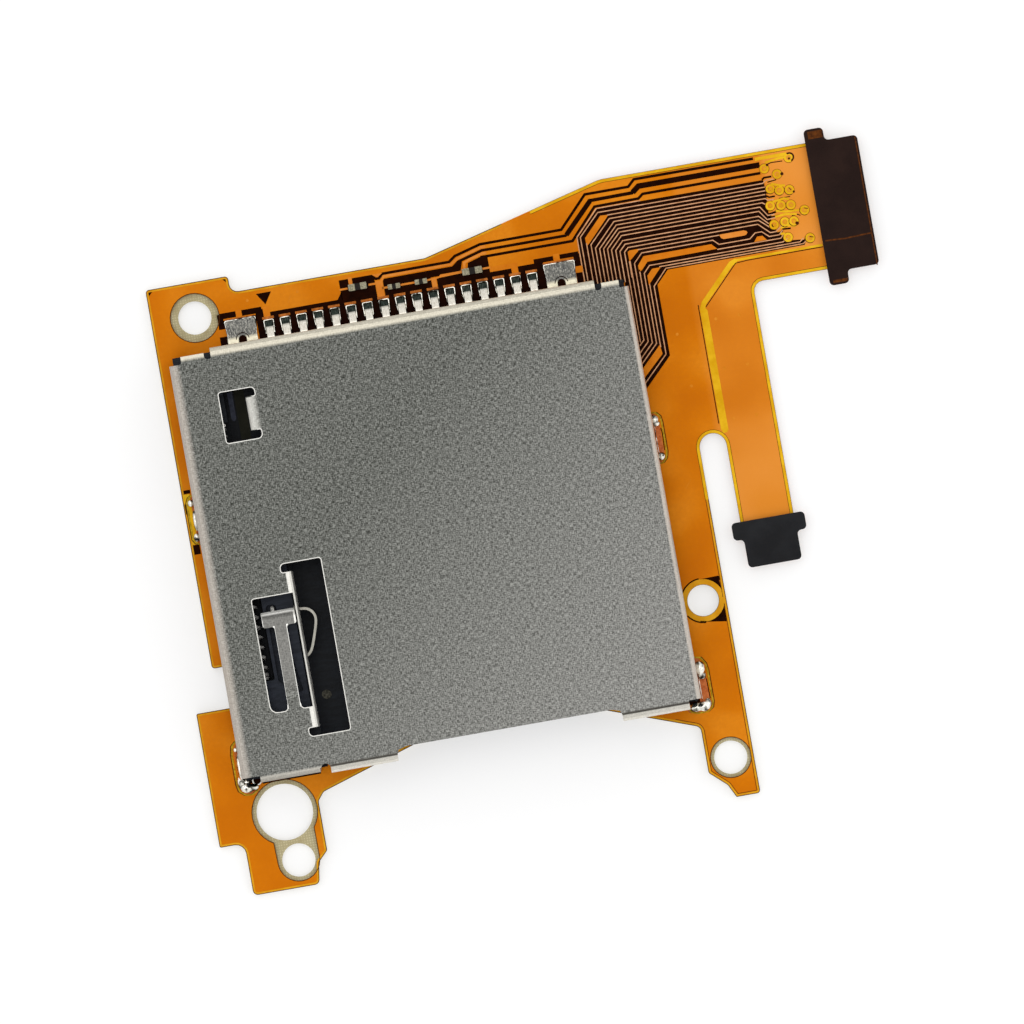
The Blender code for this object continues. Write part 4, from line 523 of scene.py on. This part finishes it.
def border_strip(loop, near, far, keep):
    """Quads between two distances inside a loop, where the keep test holds."""
    spaced = []
    for a, b in zip(loop[-1:] + loop[:-1], loop):
        steps = max(int(math.hypot(b[0] - a[0], b[1] - a[1]) / border_step), 1)
        spaced += [(a[0] + (b[0] - a[0]) * (k + 1) / steps, a[1] + (b[1] - a[1]) * (k + 1) / steps)
                   for k in range(steps)]
    loop, count = spaced, len(spaced)
    quads, rails = [], []
    for n in range(count):
        here = Vector(loop[n])
        before = (here - Vector(loop[n - 1])).normalized()
        after = (Vector(loop[(n + 1) % count]) - here).normalized()
        mean = before + after
        mean = mean.normalized() if mean.length > 0.01 else before
        inward = Vector((-mean.y, mean.x)) / max(mean.dot(after), 0.5)
        rails.append((here + inward * near, here + inward * far))
    for n in range(count):
        a, b = rails[n - 1], rails[n]
        if keep(*((Vector(loop[n - 1]) + Vector(loop[n])) / 2)) and (b[0] - a[0]).length > 1e-6:
            quads.append([tuple(a[0]), tuple(b[0]), tuple(b[1]), tuple(a[1])])
    return quads


def margin_side(x, y):
    """Where the film reaches far past the copper: the upper edge, both tails and the slot."""
    return x < 26.3 and (x > 9 and y > 17.2 or x > 20.9 and y > 12 or x > 16.9 and y > -4.6
                         or x > 15.9 and y > -0.6)


def by_stiffener(x, y):
    return not margin_side(x, y) and x < 17 and y < 17.6


brown_edge = film_tone("brown_film_edge", (60, 30, 4), (96, 52, 10), 0.35, 0.0002)
outlines = sorted(edge_loops("flex_circuit", FLEX_TOP), key=len)
rim, glow, hair, margin = [], [], [], []
for loop in outlines:
    rim += border_strip(loop, 0.0, 0.045, by_stiffener)
    margin += border_strip(loop, 0.0, 0.19, margin_side)
    if loop is outlines[-1]:
        glow += border_strip(loop, 0.045, 0.15, by_stiffener)
        hair += border_strip(loop, 0.17, 0.2, lambda x, y: by_stiffener(x, y) and x > 12)
        hair += border_strip(loop, 0.19, 0.215, margin_side)
        margin_rim = border_strip(loop, 0.0, 0.02, margin_side)
film_layer("film_edge_rim", rim, brown_edge, 2)
film_layer("film_edge_glow", glow, amber_line, 2)
film_layer("film_edge_hairline", hair, brown_edge, 3)
film_layer("film_margin", margin, bare_film, 2)
film_layer("film_margin_rim", margin_rim, brown_edge, 3)

# Side screw hole. The copper stops in a square round the hole, and inside it a ring of film lies on
# the stiffener, with the dark backing in the square's corners.
hole_x, hole_y, hole_film = 15.07, -6.67, 1.28
film_layer("side_hole_film", ring(hole_x, hole_y, hole_film, 0.965, steps=40), amber_line, 3)


def hole_corner(corner_x, corner_y, start, end):
    """A dark corner between the hole's ring of film and the square that ends the copper."""
    curve = arc(hole_x, hole_y, hole_film, start, end, 8)
    return [[(corner_x, corner_y), a, b] for a, b in zip(curve, curve[1:])]


corners = hole_corner(16.2, -5.36, 20, 92) + hole_corner(16.24, -8.14, -118, -16)
for start, end in ((92, 150), (215, 268)):
    corners += ring(hole_x, hole_y, 1.36, hole_film, start, end, 12)
film_layer("side_hole_corners", corners, etched, 3)

# Plug ends. A plate of dark film stiffens each tail's end, which goes into a flat-cable socket, and
# gold fingers lie bare on its underside.
def plate_finish(name, dark, light, roughness):
    look, tree, shader, where = start_finish(name, roughness)
    fleck = grain(tree, where, 0.00009)
    base = shades(tree, grain(tree, where, 0.0016), (0.35, *dark), (0.65, *light))
    shader.inputs["Specular IOR Level"].default_value = 0.06
    coat(tree, shader, mixed(tree, spread(tree, fleck, 0.0, 0.12), base, paint(60, 48, 42)),
         spread(tree, fleck, roughness - 0.08, roughness + 0.1), fleck, 0.000003)
    return look


wear("main_plug_stiffener", plate_finish("dark_brown_plate", (27, 12, 8), (36, 20, 15), 0.42))
wear("side_plug_stiffener", plate_finish("black_plate", (22, 24, 27), (32, 34, 37), 0.4))
brown_line = film_tone("brown_plate_edge", (62, 30, 8), (98, 52, 16), 0.35, 0.0002)
PLATE_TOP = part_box("main_plug_stiffener")[1].z
strips = [block(28.78, 28.85, 11.3, 19.1), block(26.05, 26.92, 19.4, 19.86),
          block(26.05, 26.92, 10.68, 10.86)]
seam = line(0.09, (26.0, 13.26), (27.2, 13.2), (28.8, 13.26))
film_layer("plug_plate_edges", strips, brown_line, 1, PLATE_TOP)
film_layer("plug_plate_seam", seam, brown_line, 1, PLATE_TOP)

gold, tree, shader, where = start_finish("plated_gold", 0.28, 1.0)
rub = grain(tree, where, 0.0003, 3, (1, 6, 1))
coat(tree, shader, shades(tree, rub, (0.3, 214, 168, 84), (0.7, 240, 204, 120)), None, rub, 0.000002)
finger_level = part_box("flex_circuit")[0].z + 0.00002
finger_pitch = 0.5


def gold_fingers(name, shapes):
    """Thin gold bars under a plug end."""
    work = bmesh.new()
    for left, right, front, back in shapes:
        bar = bmesh.ops.create_cube(work, size=1)["verts"]
        size = Vector((right - left, back - front, 0.012)) / 1000
        middle = Vector(((right + left) / 2000, (back + front) / 2000, finger_level))
        bmesh.ops.transform(work, matrix=Matrix.LocRotScale(middle, None, size), verts=bar)
    bmesh.ops.bevel(work, geom=list(work.edges), offset=0.000003, segments=1, affect="EDGES")
    piece = new_piece(name, work, gold)
    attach(piece, "frame")


gold_fingers("main_plug_fingers", [
    (26.7, 28.85, 11.75 + finger_pitch * n, 12.05 + finger_pitch * n) for n in range(15)])
gold_fingers("side_plug_fingers", [
    (18.45 + finger_pitch * n, 18.75 + finger_pitch * n, -5.12, -3.2) for n in range(6)])


# Housing. A moulded frame of black glass-filled plastic that carries the contacts and the slider.
# A rib inside it carries a painted highlight, and the floor beside it is dull.
def moulding(name, dark, light):
    look, tree, shader, where = start_finish(name, 0.45)
    pores = grain(tree, where, 0.00006, 4)
    swirl = grain(tree, where, 0.0008, 2, (1, 4, 1))
    shader.inputs["Specular IOR Level"].default_value = 0.14
    coat(tree, shader, shades(tree, swirl, (0.35, *dark), (0.65, *light)),
         spread(tree, pores, 0.34, 0.55), pores, 0.000006)
    return look


wear("housing", moulding("black_moulding", (8, 12, 18), (20, 25, 32)))

FLOOR_LEVEL = 0.00115
# Painted highlight: a paler sheet on top of the rib stands for the light it catches.
rib_highlight = film_tone("painted_rib_highlight", (78, 80, 98), (104, 110, 128), 0.3, 0.0003)
rib = [(-10.85, 10.5), (-10.85, 8.95), (-10.78, 8.8), (-10.7, 8.75), (-10.62, 8.8), (-10.55, 8.95),
       (-10.55, 10.5)]
film_layer("floor_rib_highlight", [rib], rib_highlight, 1, FLOOR_LEVEL)
floor_sheen = film_tone("dull_floor", (54, 54, 44), (66, 65, 54), 0.5, 0.0006)
panel = block(-10.46, -9.86, 7.6, 10.6)
film_layer("floor_panel", [panel], floor_sheen, 1, FLOOR_LEVEL)


# Contacts. Seventeen stamped and plated springs; each foot is soldered to its pad, so a bright
# fillet stands round its toe; inside it the foot's flat is painted near black, a painted reflection.
tin, tree, shader, where = start_finish("tinned_contact", 0.3, 1.0)
streak = grain(tree, where, 0.00016, 4, (2.2, 0.7, 1))
pale = shades(tree, streak, (0.3, 205, 198, 184), (0.55, 232, 227, 214), (0.75, 250, 247, 238))
# Painted reflection: the foot's flat inside the fillet is painted near black.
toe_painted_reflection = shades(tree, streak, (0.35, 16, 20, 17), (0.6, 44, 50, 46), (0.8, 96, 98, 90))
along = add(tree, "SeparateXYZ", {0: where}).outputs["Y"]
in_toe = spread(tree, along, 0, 1, 0.01388, 0.01402)
coat(tree, shader, mixed(tree, in_toe, pale, toe_painted_reflection), spread(tree, streak, 0.22, 0.42), streak, 0.000008)
for n in range(1, contacts + 1):
    wear(f"contact_{n:02d}", tin)

bright_solder, tree, shader, where = start_finish("bright_solder", 0.13, 1.0)
# Painted reflection: the solder's colour runs in blotches from near black to white, as a mirror-bright
# surface reflects; the same noise gives its relief.
skin = grain(tree, where, 0.00042, 2)
coat(tree, shader, shades(tree, skin, (0.36, 44, 42, 38), (0.43, 136, 134, 126), (0.5, 222, 220, 210),
                          (0.62, 250, 248, 238)), spread(tree, skin, 0.08, 0.22), skin, 0.00006)
board_top = FLEX_TOP + 0.00001
outer_corner, inner_corner, open_end = 0.09, 0.05, 0.86


def solder_ridges(name, middles, half, front, back, inner_half, inner_back, height):
    """Low ridges of solder, each round three sides of a soldered tab and open to the front."""
    work = bmesh.new()
    crest = ((half + inner_half) / 2, (back + inner_back) / 2)
    for x in middles:
        rows = []
        for reach, top, rise in (
                (half, back, 0), (half * 0.4 + crest[0] * 0.6, back * 0.4 + crest[1] * 0.6, 0.75),
                (*crest, 1), (inner_half, inner_back, 0.5)):
            corner = outer_corner if reach > inner_half else inner_corner
            path = [(reach * open_end, front)] + arc(reach - corner, top - corner, corner, 0, 90, 3)
            path += [(-px, py) for px, py in reversed(path)]
            rows.append([work.verts.new(((x + px) / 1000, py / 1000, board_top + height * rise))
                         for px, py in path])
        for low, high in zip(rows, rows[1:]):
            for n in range(1, len(low)):
                work.faces.new((low[n - 1], low[n], high[n], high[n - 1]))
    piece = new_piece(name, work, bright_solder, smooth=True)
    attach(piece, "frame")


first_contact = -7.65
solder_ridges("toe_fillets", [first_contact + n for n in range(contacts)],
              0.36, 13.6, 14.47, 0.24, 14.35, 0.00018)

# Hold-down plates. Tabs of tinned steel, held in the housing and soldered flat to the board at both
# ends of the contact row. A drawn hole in each stands up a little, and solder creeps round the tab.
plate_tin, tree, shader, where = start_finish("speckled_tin", 0.35, 1.0)
speck = grain(tree, where, 0.00012, 4, (1.6, 0.8, 1), 0.7)
base = shades(tree, speck, (0.36, 46, 48, 48), (0.5, 88, 88, 86), (0.63, 160, 158, 150))
base = mixed(tree, spread(tree, grain(tree, where, 0.0005, 2), 0.0, 0.3), base, paint(132, 130, 121))
forward = add(tree, "SeparateXYZ", {0: where}).outputs["Y"]
by_shield = spread(tree, forward, 0, 1, 0.01375, 0.01355)
coat(tree, shader, mixed(tree, by_shield, base, paint(214, 207, 184)), spread(tree, speck, 0.25, 0.5),
     speck, 0.00001)
wear("hold_down_left", plate_tin)
wear("hold_down_right", plate_tin)

TAB_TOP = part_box("hold_down_left")[1].z
tab_holes = (-9.35, 10.02)
# Painted shade: a dark disc in each drawn hole, and a dark arc round its raised step.
shades_of_holes = [disc(x, 13.5, 0.27) for x in tab_holes]
rims, steps = ([quad for x in tab_holes for quad in ring(x, 13.52, outer, inner, start, 180 - start, 16)]
               for outer, inner, start in ((0.36, 0.25, -15), (0.41, 0.36, 5)))
film_layer("tab_hole_shade", shades_of_holes, etched, 3, TAB_TOP)
film_layer("tab_hole_rims", rims, plate_tin, 5, TAB_TOP)
film_layer("tab_hole_step_shade", steps, etched, 3, TAB_TOP)
solder_ridges("hold_down_fillets", (-9.33, 10.05), 1.0, 13.2, 14.82, 0.87, 14.68, 0.00022)

# Slider. A slide that takes the card in and out, moulded in one piece from a smoother plastic than
# the housing's and laid into its channel.
wear("slider", moulding("navy_moulding", (26, 31, 41), (40, 45, 56)))


# Lock spring, cam follower and eject coil. Drawn and rolled spring steel: the strip snaps into the
# card's notch, the wire runs in the slider's heart-shaped track, and the coil pushes the card out.
def drawn_steel(name, dark, light, size, stretch=(1, 1, 1), metallic=1.0):
    look, tree, shader, where = start_finish(name, 0.28, metallic)
    draw = grain(tree, where, size, 4, stretch)
    coat(tree, shader, shades(tree, draw, (0.3, *dark), (0.7, *light)), spread(tree, draw, 0.2, 0.4),
         draw, 0.000003)
    return look


wire_steel = drawn_steel("drawn_wire_steel", (206, 204, 198), (248, 246, 240), 0.0001, metallic=0.35)
wear("cam_follower", wire_steel)


def sweep(rows):
    """Work on a closed skin through rows of points that stand one behind the other."""
    work = bmesh.new()
    rows = [[work.verts.new(place) for place in row] for row in rows]
    for low, high in zip(rows, rows[1:]):
        for k in range(len(low)):
            work.faces.new((low[k - 1], low[k], high[k], high[k - 1]))
    work.faces.new(rows[0])
    work.faces.new(rows[-1][::-1])
    bmesh.ops.recalc_face_normals(work, faces=work.faces)
    return work


strip_steel = drawn_steel("rolled_strip_steel", (112, 110, 102), (158, 155, 146), 0.00012, (1, 0.2, 3))
strip_low, strip_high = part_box("card_lock_spring")
strip_half = 0.075
strip_x = strip_low.x * 1000 + strip_half
strip_knots = [
    (strip_x, 2.99), (strip_x, 0), (strip_x, -2.0), (strip_x + 0.01, -2.62), (strip_x + 0.12, -2.86),
    (strip_x + 0.4, -2.95), (-8.42, -3.0), (-8.14, -3.16), (-7.97, -3.42), (-7.93, -3.7), (-7.99, -4.05),
    (-8.13, -4.5), (-8.28, -4.95), (-8.44, -5.36), (-8.64, -5.66), (-8.9, -5.82), (-9.0, -5.84)]
knot_steps = 6
strip_path = []
for n in range(len(strip_knots) - 1):
    before, here, after, later = (Vector(strip_knots[min(max(n + k, 0), len(strip_knots) - 1)])
                                  for k in (-1, 0, 1, 2))
    for t in (k / knot_steps for k in range(knot_steps)):
        strip_path.append(0.5 * (
            2 * here + (after - before) * t + (2 * before - 5 * here + 4 * after - later) * t ** 2
            + (3 * here - before - 3 * after + later) * t ** 3))
strip_path.append(Vector(strip_knots[-1]))
rows = []
for n, here in enumerate(strip_path):
    way = (strip_path[min(n + 1, len(strip_path) - 1)] - strip_path[max(n - 1, 0)]).normalized()
    across = Vector((-way.y, way.x)) * strip_half
    rows.append([(side.x / 1000, side.y / 1000, z) for side, z in (
        (here + across, strip_low.z), (here + across, strip_high.z),
        (here - across, strip_high.z), (here - across, strip_low.z))])
work = sweep(rows)
edges = [e for e in work.edges if len(e.link_faces) == 2 and e.calc_face_angle() > 1]
bmesh.ops.bevel(work, geom=edges, offset=0.000018, segments=2, affect="EDGES")
strip = new_piece("lock_strip", work, strip_steel)
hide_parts("card_lock_spring")
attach(strip, "slide")

coil_low, coil_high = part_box("eject_spring")
coil_wire = 0.0001
coil_radius = (coil_high.x - coil_low.x) / 2 - coil_wire
coil_x, coil_z = (coil_low.x + coil_high.x) / 2, (coil_low.z + coil_high.z) / 2
coil_start, coil_end = coil_low.y + coil_wire, coil_high.y - coil_wire
open_turns, closed_turns, coil_steps, wire_sides = 24, 1.5, 20, 10
closed_pitch = coil_wire * 2.3
closed = closed_turns * closed_pitch
open_pitch = (coil_end - coil_start - 2 * closed) / open_turns
coil_path = []
for n in range(int((open_turns + 2 * closed_turns) * coil_steps) + 1):
    turn = n / coil_steps
    if turn < closed_turns:
        along = turn * closed_pitch
    elif turn > open_turns + closed_turns:
        along = closed + open_pitch * open_turns + (turn - open_turns - closed_turns) * closed_pitch
    else:
        along = closed + (turn - closed_turns) * open_pitch
    coil_path.append(Vector((coil_x + coil_radius * math.cos(2 * math.pi * turn), coil_start + along,
                             coil_z + coil_radius * math.sin(2 * math.pi * turn))))
rows = []
for n, here in enumerate(coil_path):
    way = (coil_path[min(n + 1, len(coil_path) - 1)] - coil_path[max(n - 1, 0)]).normalized()
    level = way.cross(Vector((0.3, 1, 0.2))).normalized()
    rise = way.cross(level).normalized()
    turns = [2 * math.pi * k / wire_sides for k in range(wire_sides)]
    rows.append([here + (level * math.cos(a) + rise * math.sin(a)) * coil_wire for a in turns])
coil = new_piece("eject_coil", sweep(rows), wire_steel, smooth=True)
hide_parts("eject_spring")
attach(coil, "frame")
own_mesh(coil)

# Shield. One sheet of nickel-plated steel with a fine linen-like grain, stamped and bent down
# round the housing. Its bends, window rims, flap, finger and front lip carry painted highlights and
# painted shade, and its flat is painted brighter towards the lower right.
FLAT_LEVEL = 0.0048
shield_steel, tree, shader, where = start_finish("linen_grain_steel", 0.42, 1.0)
linen_x = grain(tree, where, 0.00006, 1.5, (0.25, 1.5, 1), 0.6)
linen_y = grain(tree, where, 0.00006, 1.5, (1.5, 0.25, 1), 0.6)
linen = maths(tree, "MULTIPLY", maths(tree, "ADD", linen_x, linen_y), 0.5)
axes = add(tree, "SeparateXYZ", {0: where}).outputs
# Painted light: the flat is painted brighter from upper left to lower right.
painted_light_slope = spread(tree, maths(tree, "SUBTRACT", axes["X"], axes["Y"]), 0, 0.68, -0.008, 0.024)
matt = shades(tree, linen, (0.41, 46, 47, 43), (0.5, 86, 87, 83), (0.59, 130, 131, 126))
matt = mixed(tree, painted_light_slope, matt, shades(tree, linen, (0.41, 99, 98, 95), (0.59, 168, 167, 163)))


def band(axis, near, far, *limits):
    """One within the band of the sheet where the axis runs from near to far, fading over the gap."""
    inside = spread(tree, axes[axis], 0, 1, near, far)
    for other, low, high in limits:
        above = maths(tree, "GREATER_THAN", axes[other], low)
        below = maths(tree, "LESS_THAN", axes[other], high)
        inside = maths(tree, "MULTIPLY", inside, maths(tree, "MULTIPLY", above, below))
    return inside


flap = (("X", -0.0104, 0), ("Y", 0.00803, 0.00999))
head = (("X", -0.0112, -0.0091), ("Y", -0.00378, -0.0028))
stem = (("X", -0.0105, -0.0096), ("Y", -0.0087, -0.0037))
lip = ("X", -0.0086, 0.0135)
head_fold = band("Y", -0.00306, -0.00296, *head)
rim_bright, rim_dull = (232, 231, 226), (212, 211, 206)
# Painted highlights on the three bends, the flap and window rims, the finger's fold, head and stem and the
# front lip; painted shade in the lip's crease; a paler painted tone on the bent-down finger.
painted_light_bands = (
    ((192, 184, 174), (168, 160, 151), band("X", -0.01325, -0.01375)),
    ((208, 199, 188), (184, 176, 166), band("X", 0.01358, 0.0137)),
    ((210, 204, 187), (180, 174, 158), band("Y", 0.01272, 0.0129)),
    ((232, 230, 222), (214, 212, 204),
     band("X", -0.00922, -0.00918, ("X", -1, -0.0087), ("Y", -0.01015, -0.0005))),
    ((232, 230, 222), (210, 208, 200), band("X", -0.00906, -0.0097, *flap)),
    ((130, 129, 125), (94, 93, 90),
     band("Z", 0.00477, 0.0046, ("X", -0.0116, -0.0092), ("Y", -0.009, -0.0025))),
    (rim_bright, rim_dull, head_fold),
    (rim_bright, rim_dull, band("X", -0.01105, -0.01109, *head)),
    (rim_bright, rim_dull, band("X", -0.00918, -0.00914, *head)),
    (rim_bright, rim_dull, band("X", -0.0104, -0.01043, *stem)),
    (rim_bright, rim_dull, band("X", -0.00972, -0.0097, *stem)),
    ((88, 86, 80), (66, 64, 60), band("Y", -0.01236, -0.01244, lip)),
    ((236, 232, 222), (210, 206, 196), band("Y", -0.01251, -0.01257, lip)),
    ((186, 182, 172), (160, 156, 148), band("Y", -0.01235, -0.0125, ("X", -0.0136, -0.0089))),
)
for bright, dull, place in painted_light_bands:
    matt = mixed(tree, place, matt, shades(tree, linen, (0.4, *dull), (0.6, *bright)))
# The flap and the finger's fold are made mostly diffuse, so their painted highlight shows in full.
painted = maths(tree, "MAXIMUM", band("X", -0.0092, -0.0096, *flap), head_fold)
tree.links.new(spread(tree, painted, 1.0, 0.15, 0, 1), shader.inputs["Metallic"])
coat(tree, shader, matt, spread(tree, linen, 0.36, 0.5), linen, 0.000005)
wear("shield_cover", shield_steel)

# Painted highlights: thin strips of bright steel along the windows' cut edges stand for the light their
# rounded edges catch.
edge_highlight_steel = drawn_steel("painted_edge_highlight_steel", (166, 165, 160), (208, 206, 200), 0.0001)


def at_windows(x, y):
    """Along the windows over the slide, but not where the finger and the flap are bent down."""
    bent = -10.6 < x < -9.6 and -8.6 < y < -8.0 or x > -9.9 and 8.1 < y < 9.9
    return -11.8 < x < -6.8 and -10.8 < y < 10.8 and not bent


edge_highlights = []
for loop in edge_loops("shield_cover", FLAT_LEVEL):
    edge_highlights += border_strip(loop, 0.0, 0.052, at_windows)
film_layer("shield_edge_highlights", edge_highlights, edge_highlight_steel, 1, FLAT_LEVEL)


# Solder. Four joints of tin solder hold the shield's feet to the board: each is a run, laid by hand,
# with a blob at its ends.
def solder_joint(name, stands_for, blobs):
    """Blobs of solder, each a middle and three half sizes in millimetres, melted together."""
    work = bmesh.new()
    for middle, size in blobs:
        lump = bmesh.ops.create_uvsphere(work, u_segments=24, v_segments=14, radius=0.001)["verts"]
        place = Matrix.LocRotScale(Vector(middle) / 1000, None, Vector(size))
        bmesh.ops.transform(work, matrix=place, verts=lump)
    piece = new_piece(name, work, bright_solder)
    melt = piece.modifiers.new("melt", "REMESH")
    melt.mode = "VOXEL"
    melt.voxel_size = 0.00003
    melt.use_smooth_shade = True
    flow = piece.modifiers.new("flow", "SMOOTH")
    flow.iterations = 12
    flow.factor = 0.6
    graph = bpy.context.evaluated_depsgraph_get()
    piece.data = bpy.data.meshes.new_from_object(piece.evaluated_get(graph))
    piece.modifiers.clear()
    piece.data.materials.clear()
    piece.data.materials.append(bright_solder)
    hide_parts(stands_for)
    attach(piece, "frame")


solder_joint("solder_run_right_rear", "solder_right_rear", [
    ((14.06, 4.5, 0.66), (0.28, 0.3, 0.26)), ((14.13, 4.25, 0.6), (0.25, 0.2, 0.2)),
    ((14.0, 3.3, 0.5), (0.04, 1.2, 0.05)), ((14.1, 2.25, 0.64), (0.27, 0.27, 0.25))])
solder_joint("solder_run_left_rear", "solder_left_rear", [
    ((-14.13, 4.38, 0.64), (0.2, 0.24, 0.24)), ((-14.02, 3.3, 0.72), (0.16, 0.66, 0.34)),
    ((-14.12, 2.3, 0.64), (0.2, 0.28, 0.26))])
solder_joint("solder_run_right_front", "solder_right_front", [
    ((14.16, -10.62, 0.68), (0.34, 0.45, 0.3)), ((14.22, -11.05, 0.6), (0.26, 0.28, 0.22)),
    ((14.0, -11.7, 0.5), (0.04, 0.9, 0.05)), ((14.32, -12.75, 0.58), (0.2, 0.32, 0.22)),
    ((14.05, -12.92, 0.6), (0.4, 0.33, 0.26)), ((13.6, -12.9, 0.56), (0.4, 0.3, 0.2))])
solder_joint("solder_run_left_front", "solder_left_front", [
    ((-14.05, -10.62, 0.6), (0.17, 0.17, 0.2)), ((-13.99, -11.7, 0.76), (0.17, 0.85, 0.4)),
    ((-14.05, -12.6, 0.62), (0.24, 0.5, 0.25)), ((-13.78, -13.0, 0.62), (0.4, 0.33, 0.28)),
    ((-13.38, -13.0, 0.56), (0.34, 0.22, 0.2)), ((-13.72, -12.62, 0.56), (0.2, 0.2, 0.2))])

# Film openings. Round each joint the film is cut open over the copper pad, so bare copper shows
# between the blobs, inside a bright edge that the flux has tinted.
flux_film = film_tone("film_edge_under_flux", (150, 116, 10), (196, 166, 40), 0.25, 0.0002)
bare_copper = film_tone("bare_copper", (176, 88, 42), (206, 118, 66), 0.35, 0.0002)
openings = {
    "right_rear": [(13.95, 4.93), (14.2, 4.9), (14.42, 4.65), (14.47, 4.3), (14.47, 2.5), (14.38, 2.12),
                   (14.15, 1.88), (13.95, 1.85)],
    "right_front": [(13.95, -9.93), (14.3, -10.0), (14.54, -10.4), (14.6, -10.8), (14.6, -12.7),
                    (14.5, -13.05), (14.2, -13.25), (13.6, -13.27), (13.25, -13.15), (13.1, -12.95)],
    "left_front": [(-13.95, -10.1), (-14.22, -10.35), (-14.33, -10.9), (-14.33, -12.7), (-14.24, -13.12),
                   (-13.9, -13.4), (-13.5, -13.42), (-13.1, -13.2)],
    "left_rear": [(-13.95, 4.85), (-14.2, 4.75), (-14.36, 4.4), (-14.36, 2.2), (-14.2, 1.95),
                  (-13.95, 1.85)],
}
shield_side, pad_inset, cut_scale = 13.85, 0.15, 1.006
for place, path in openings.items():
    film_layer("film_opening_" + place, line(0.085, *path), flux_film, 4)
    film_layer("film_cut_" + place, line(0.05, *[(x * cut_scale, y) for x, y in path]), brown_edge, 3)
    side = 1 if path[0][0] > 0 else -1
    floor = [(shield_side * side, path[0][1])] + [(x - pad_inset * side, y) for x, y in path]
    floor += [(shield_side * side, path[-1][1])]
    film_layer("bare_copper_" + place, [floor], bare_copper, 2)
film_layer("copper_step", lines((0.05, (14.36, 3.95), (14.4, 3.6), (14.36, 2.6)),
                                (0.06, (14.45, -11.3), (14.47, -12.5))), etched, 3)
# Painted shade at the shield's front-left foot: dark blocks where the gap under it lies, ringed by a
# painted highlight of bright steel.
gap_shade_shapes = [block(-13.9, -13.3, -12.75, -12.36), block(-13.35, -12.86, -12.86, -12.42)]
film_layer("foot_gap_shade", gap_shade_shapes, etched, 5)
film_layer("foot_gap_rim_highlight", ring(-13.1, -12.64, 0.3, 0.23, steps=20), edge_highlight_steel, 6)

# Ejector mark. Where a steel pin pushed the moulded housing out of its tool, it left a dull disc on
# the floor, in the same plastic.
FRONT_FLOOR = 0.00103
pin_mark = film_tone("ejector_mark", (48, 47, 42), (116, 113, 100), 0.5, 0.00015)
film_layer("ejector_mark", [disc(-8.08, -8.25, 0.3)], pin_mark, 1, FRONT_FLOOR)

# Chip parts. Two capacitors and two resistors of fired ceramic, with tinned ends that are soldered
# to the board behind the contacts.
chip_ends, tree, shader, where = start_finish("tinned_chip", 0.45)
length_way = add(tree, "SeparateXYZ", {0: add(tree, "TexCoord").outputs["Generated"]}).outputs["X"]
from_middle = maths(tree, "ABSOLUTE", maths(tree, "SUBTRACT", length_way, 0.5), 0.0)
at_end = spread(tree, from_middle, 0, 1, 0.14, 0.16)
dust = grain(tree, where, 0.00008, 4)
ends = shades(tree, dust, (0.35, 120, 116, 92), (0.65, 176, 170, 146))
ceramic = shades(tree, dust, (0.35, 16, 12, 9), (0.65, 34, 28, 22))
shader.inputs["Specular IOR Level"].default_value = 0.12
coat(tree, shader, mixed(tree, at_end, ceramic, ends), spread(tree, dust, 0.3, 0.55), dust, 0.000008)
for chip in ("chip_capacitor_1", "chip_resistor_1", "chip_resistor_2", "chip_capacitor_2"):
    wear(chip, chip_ends)
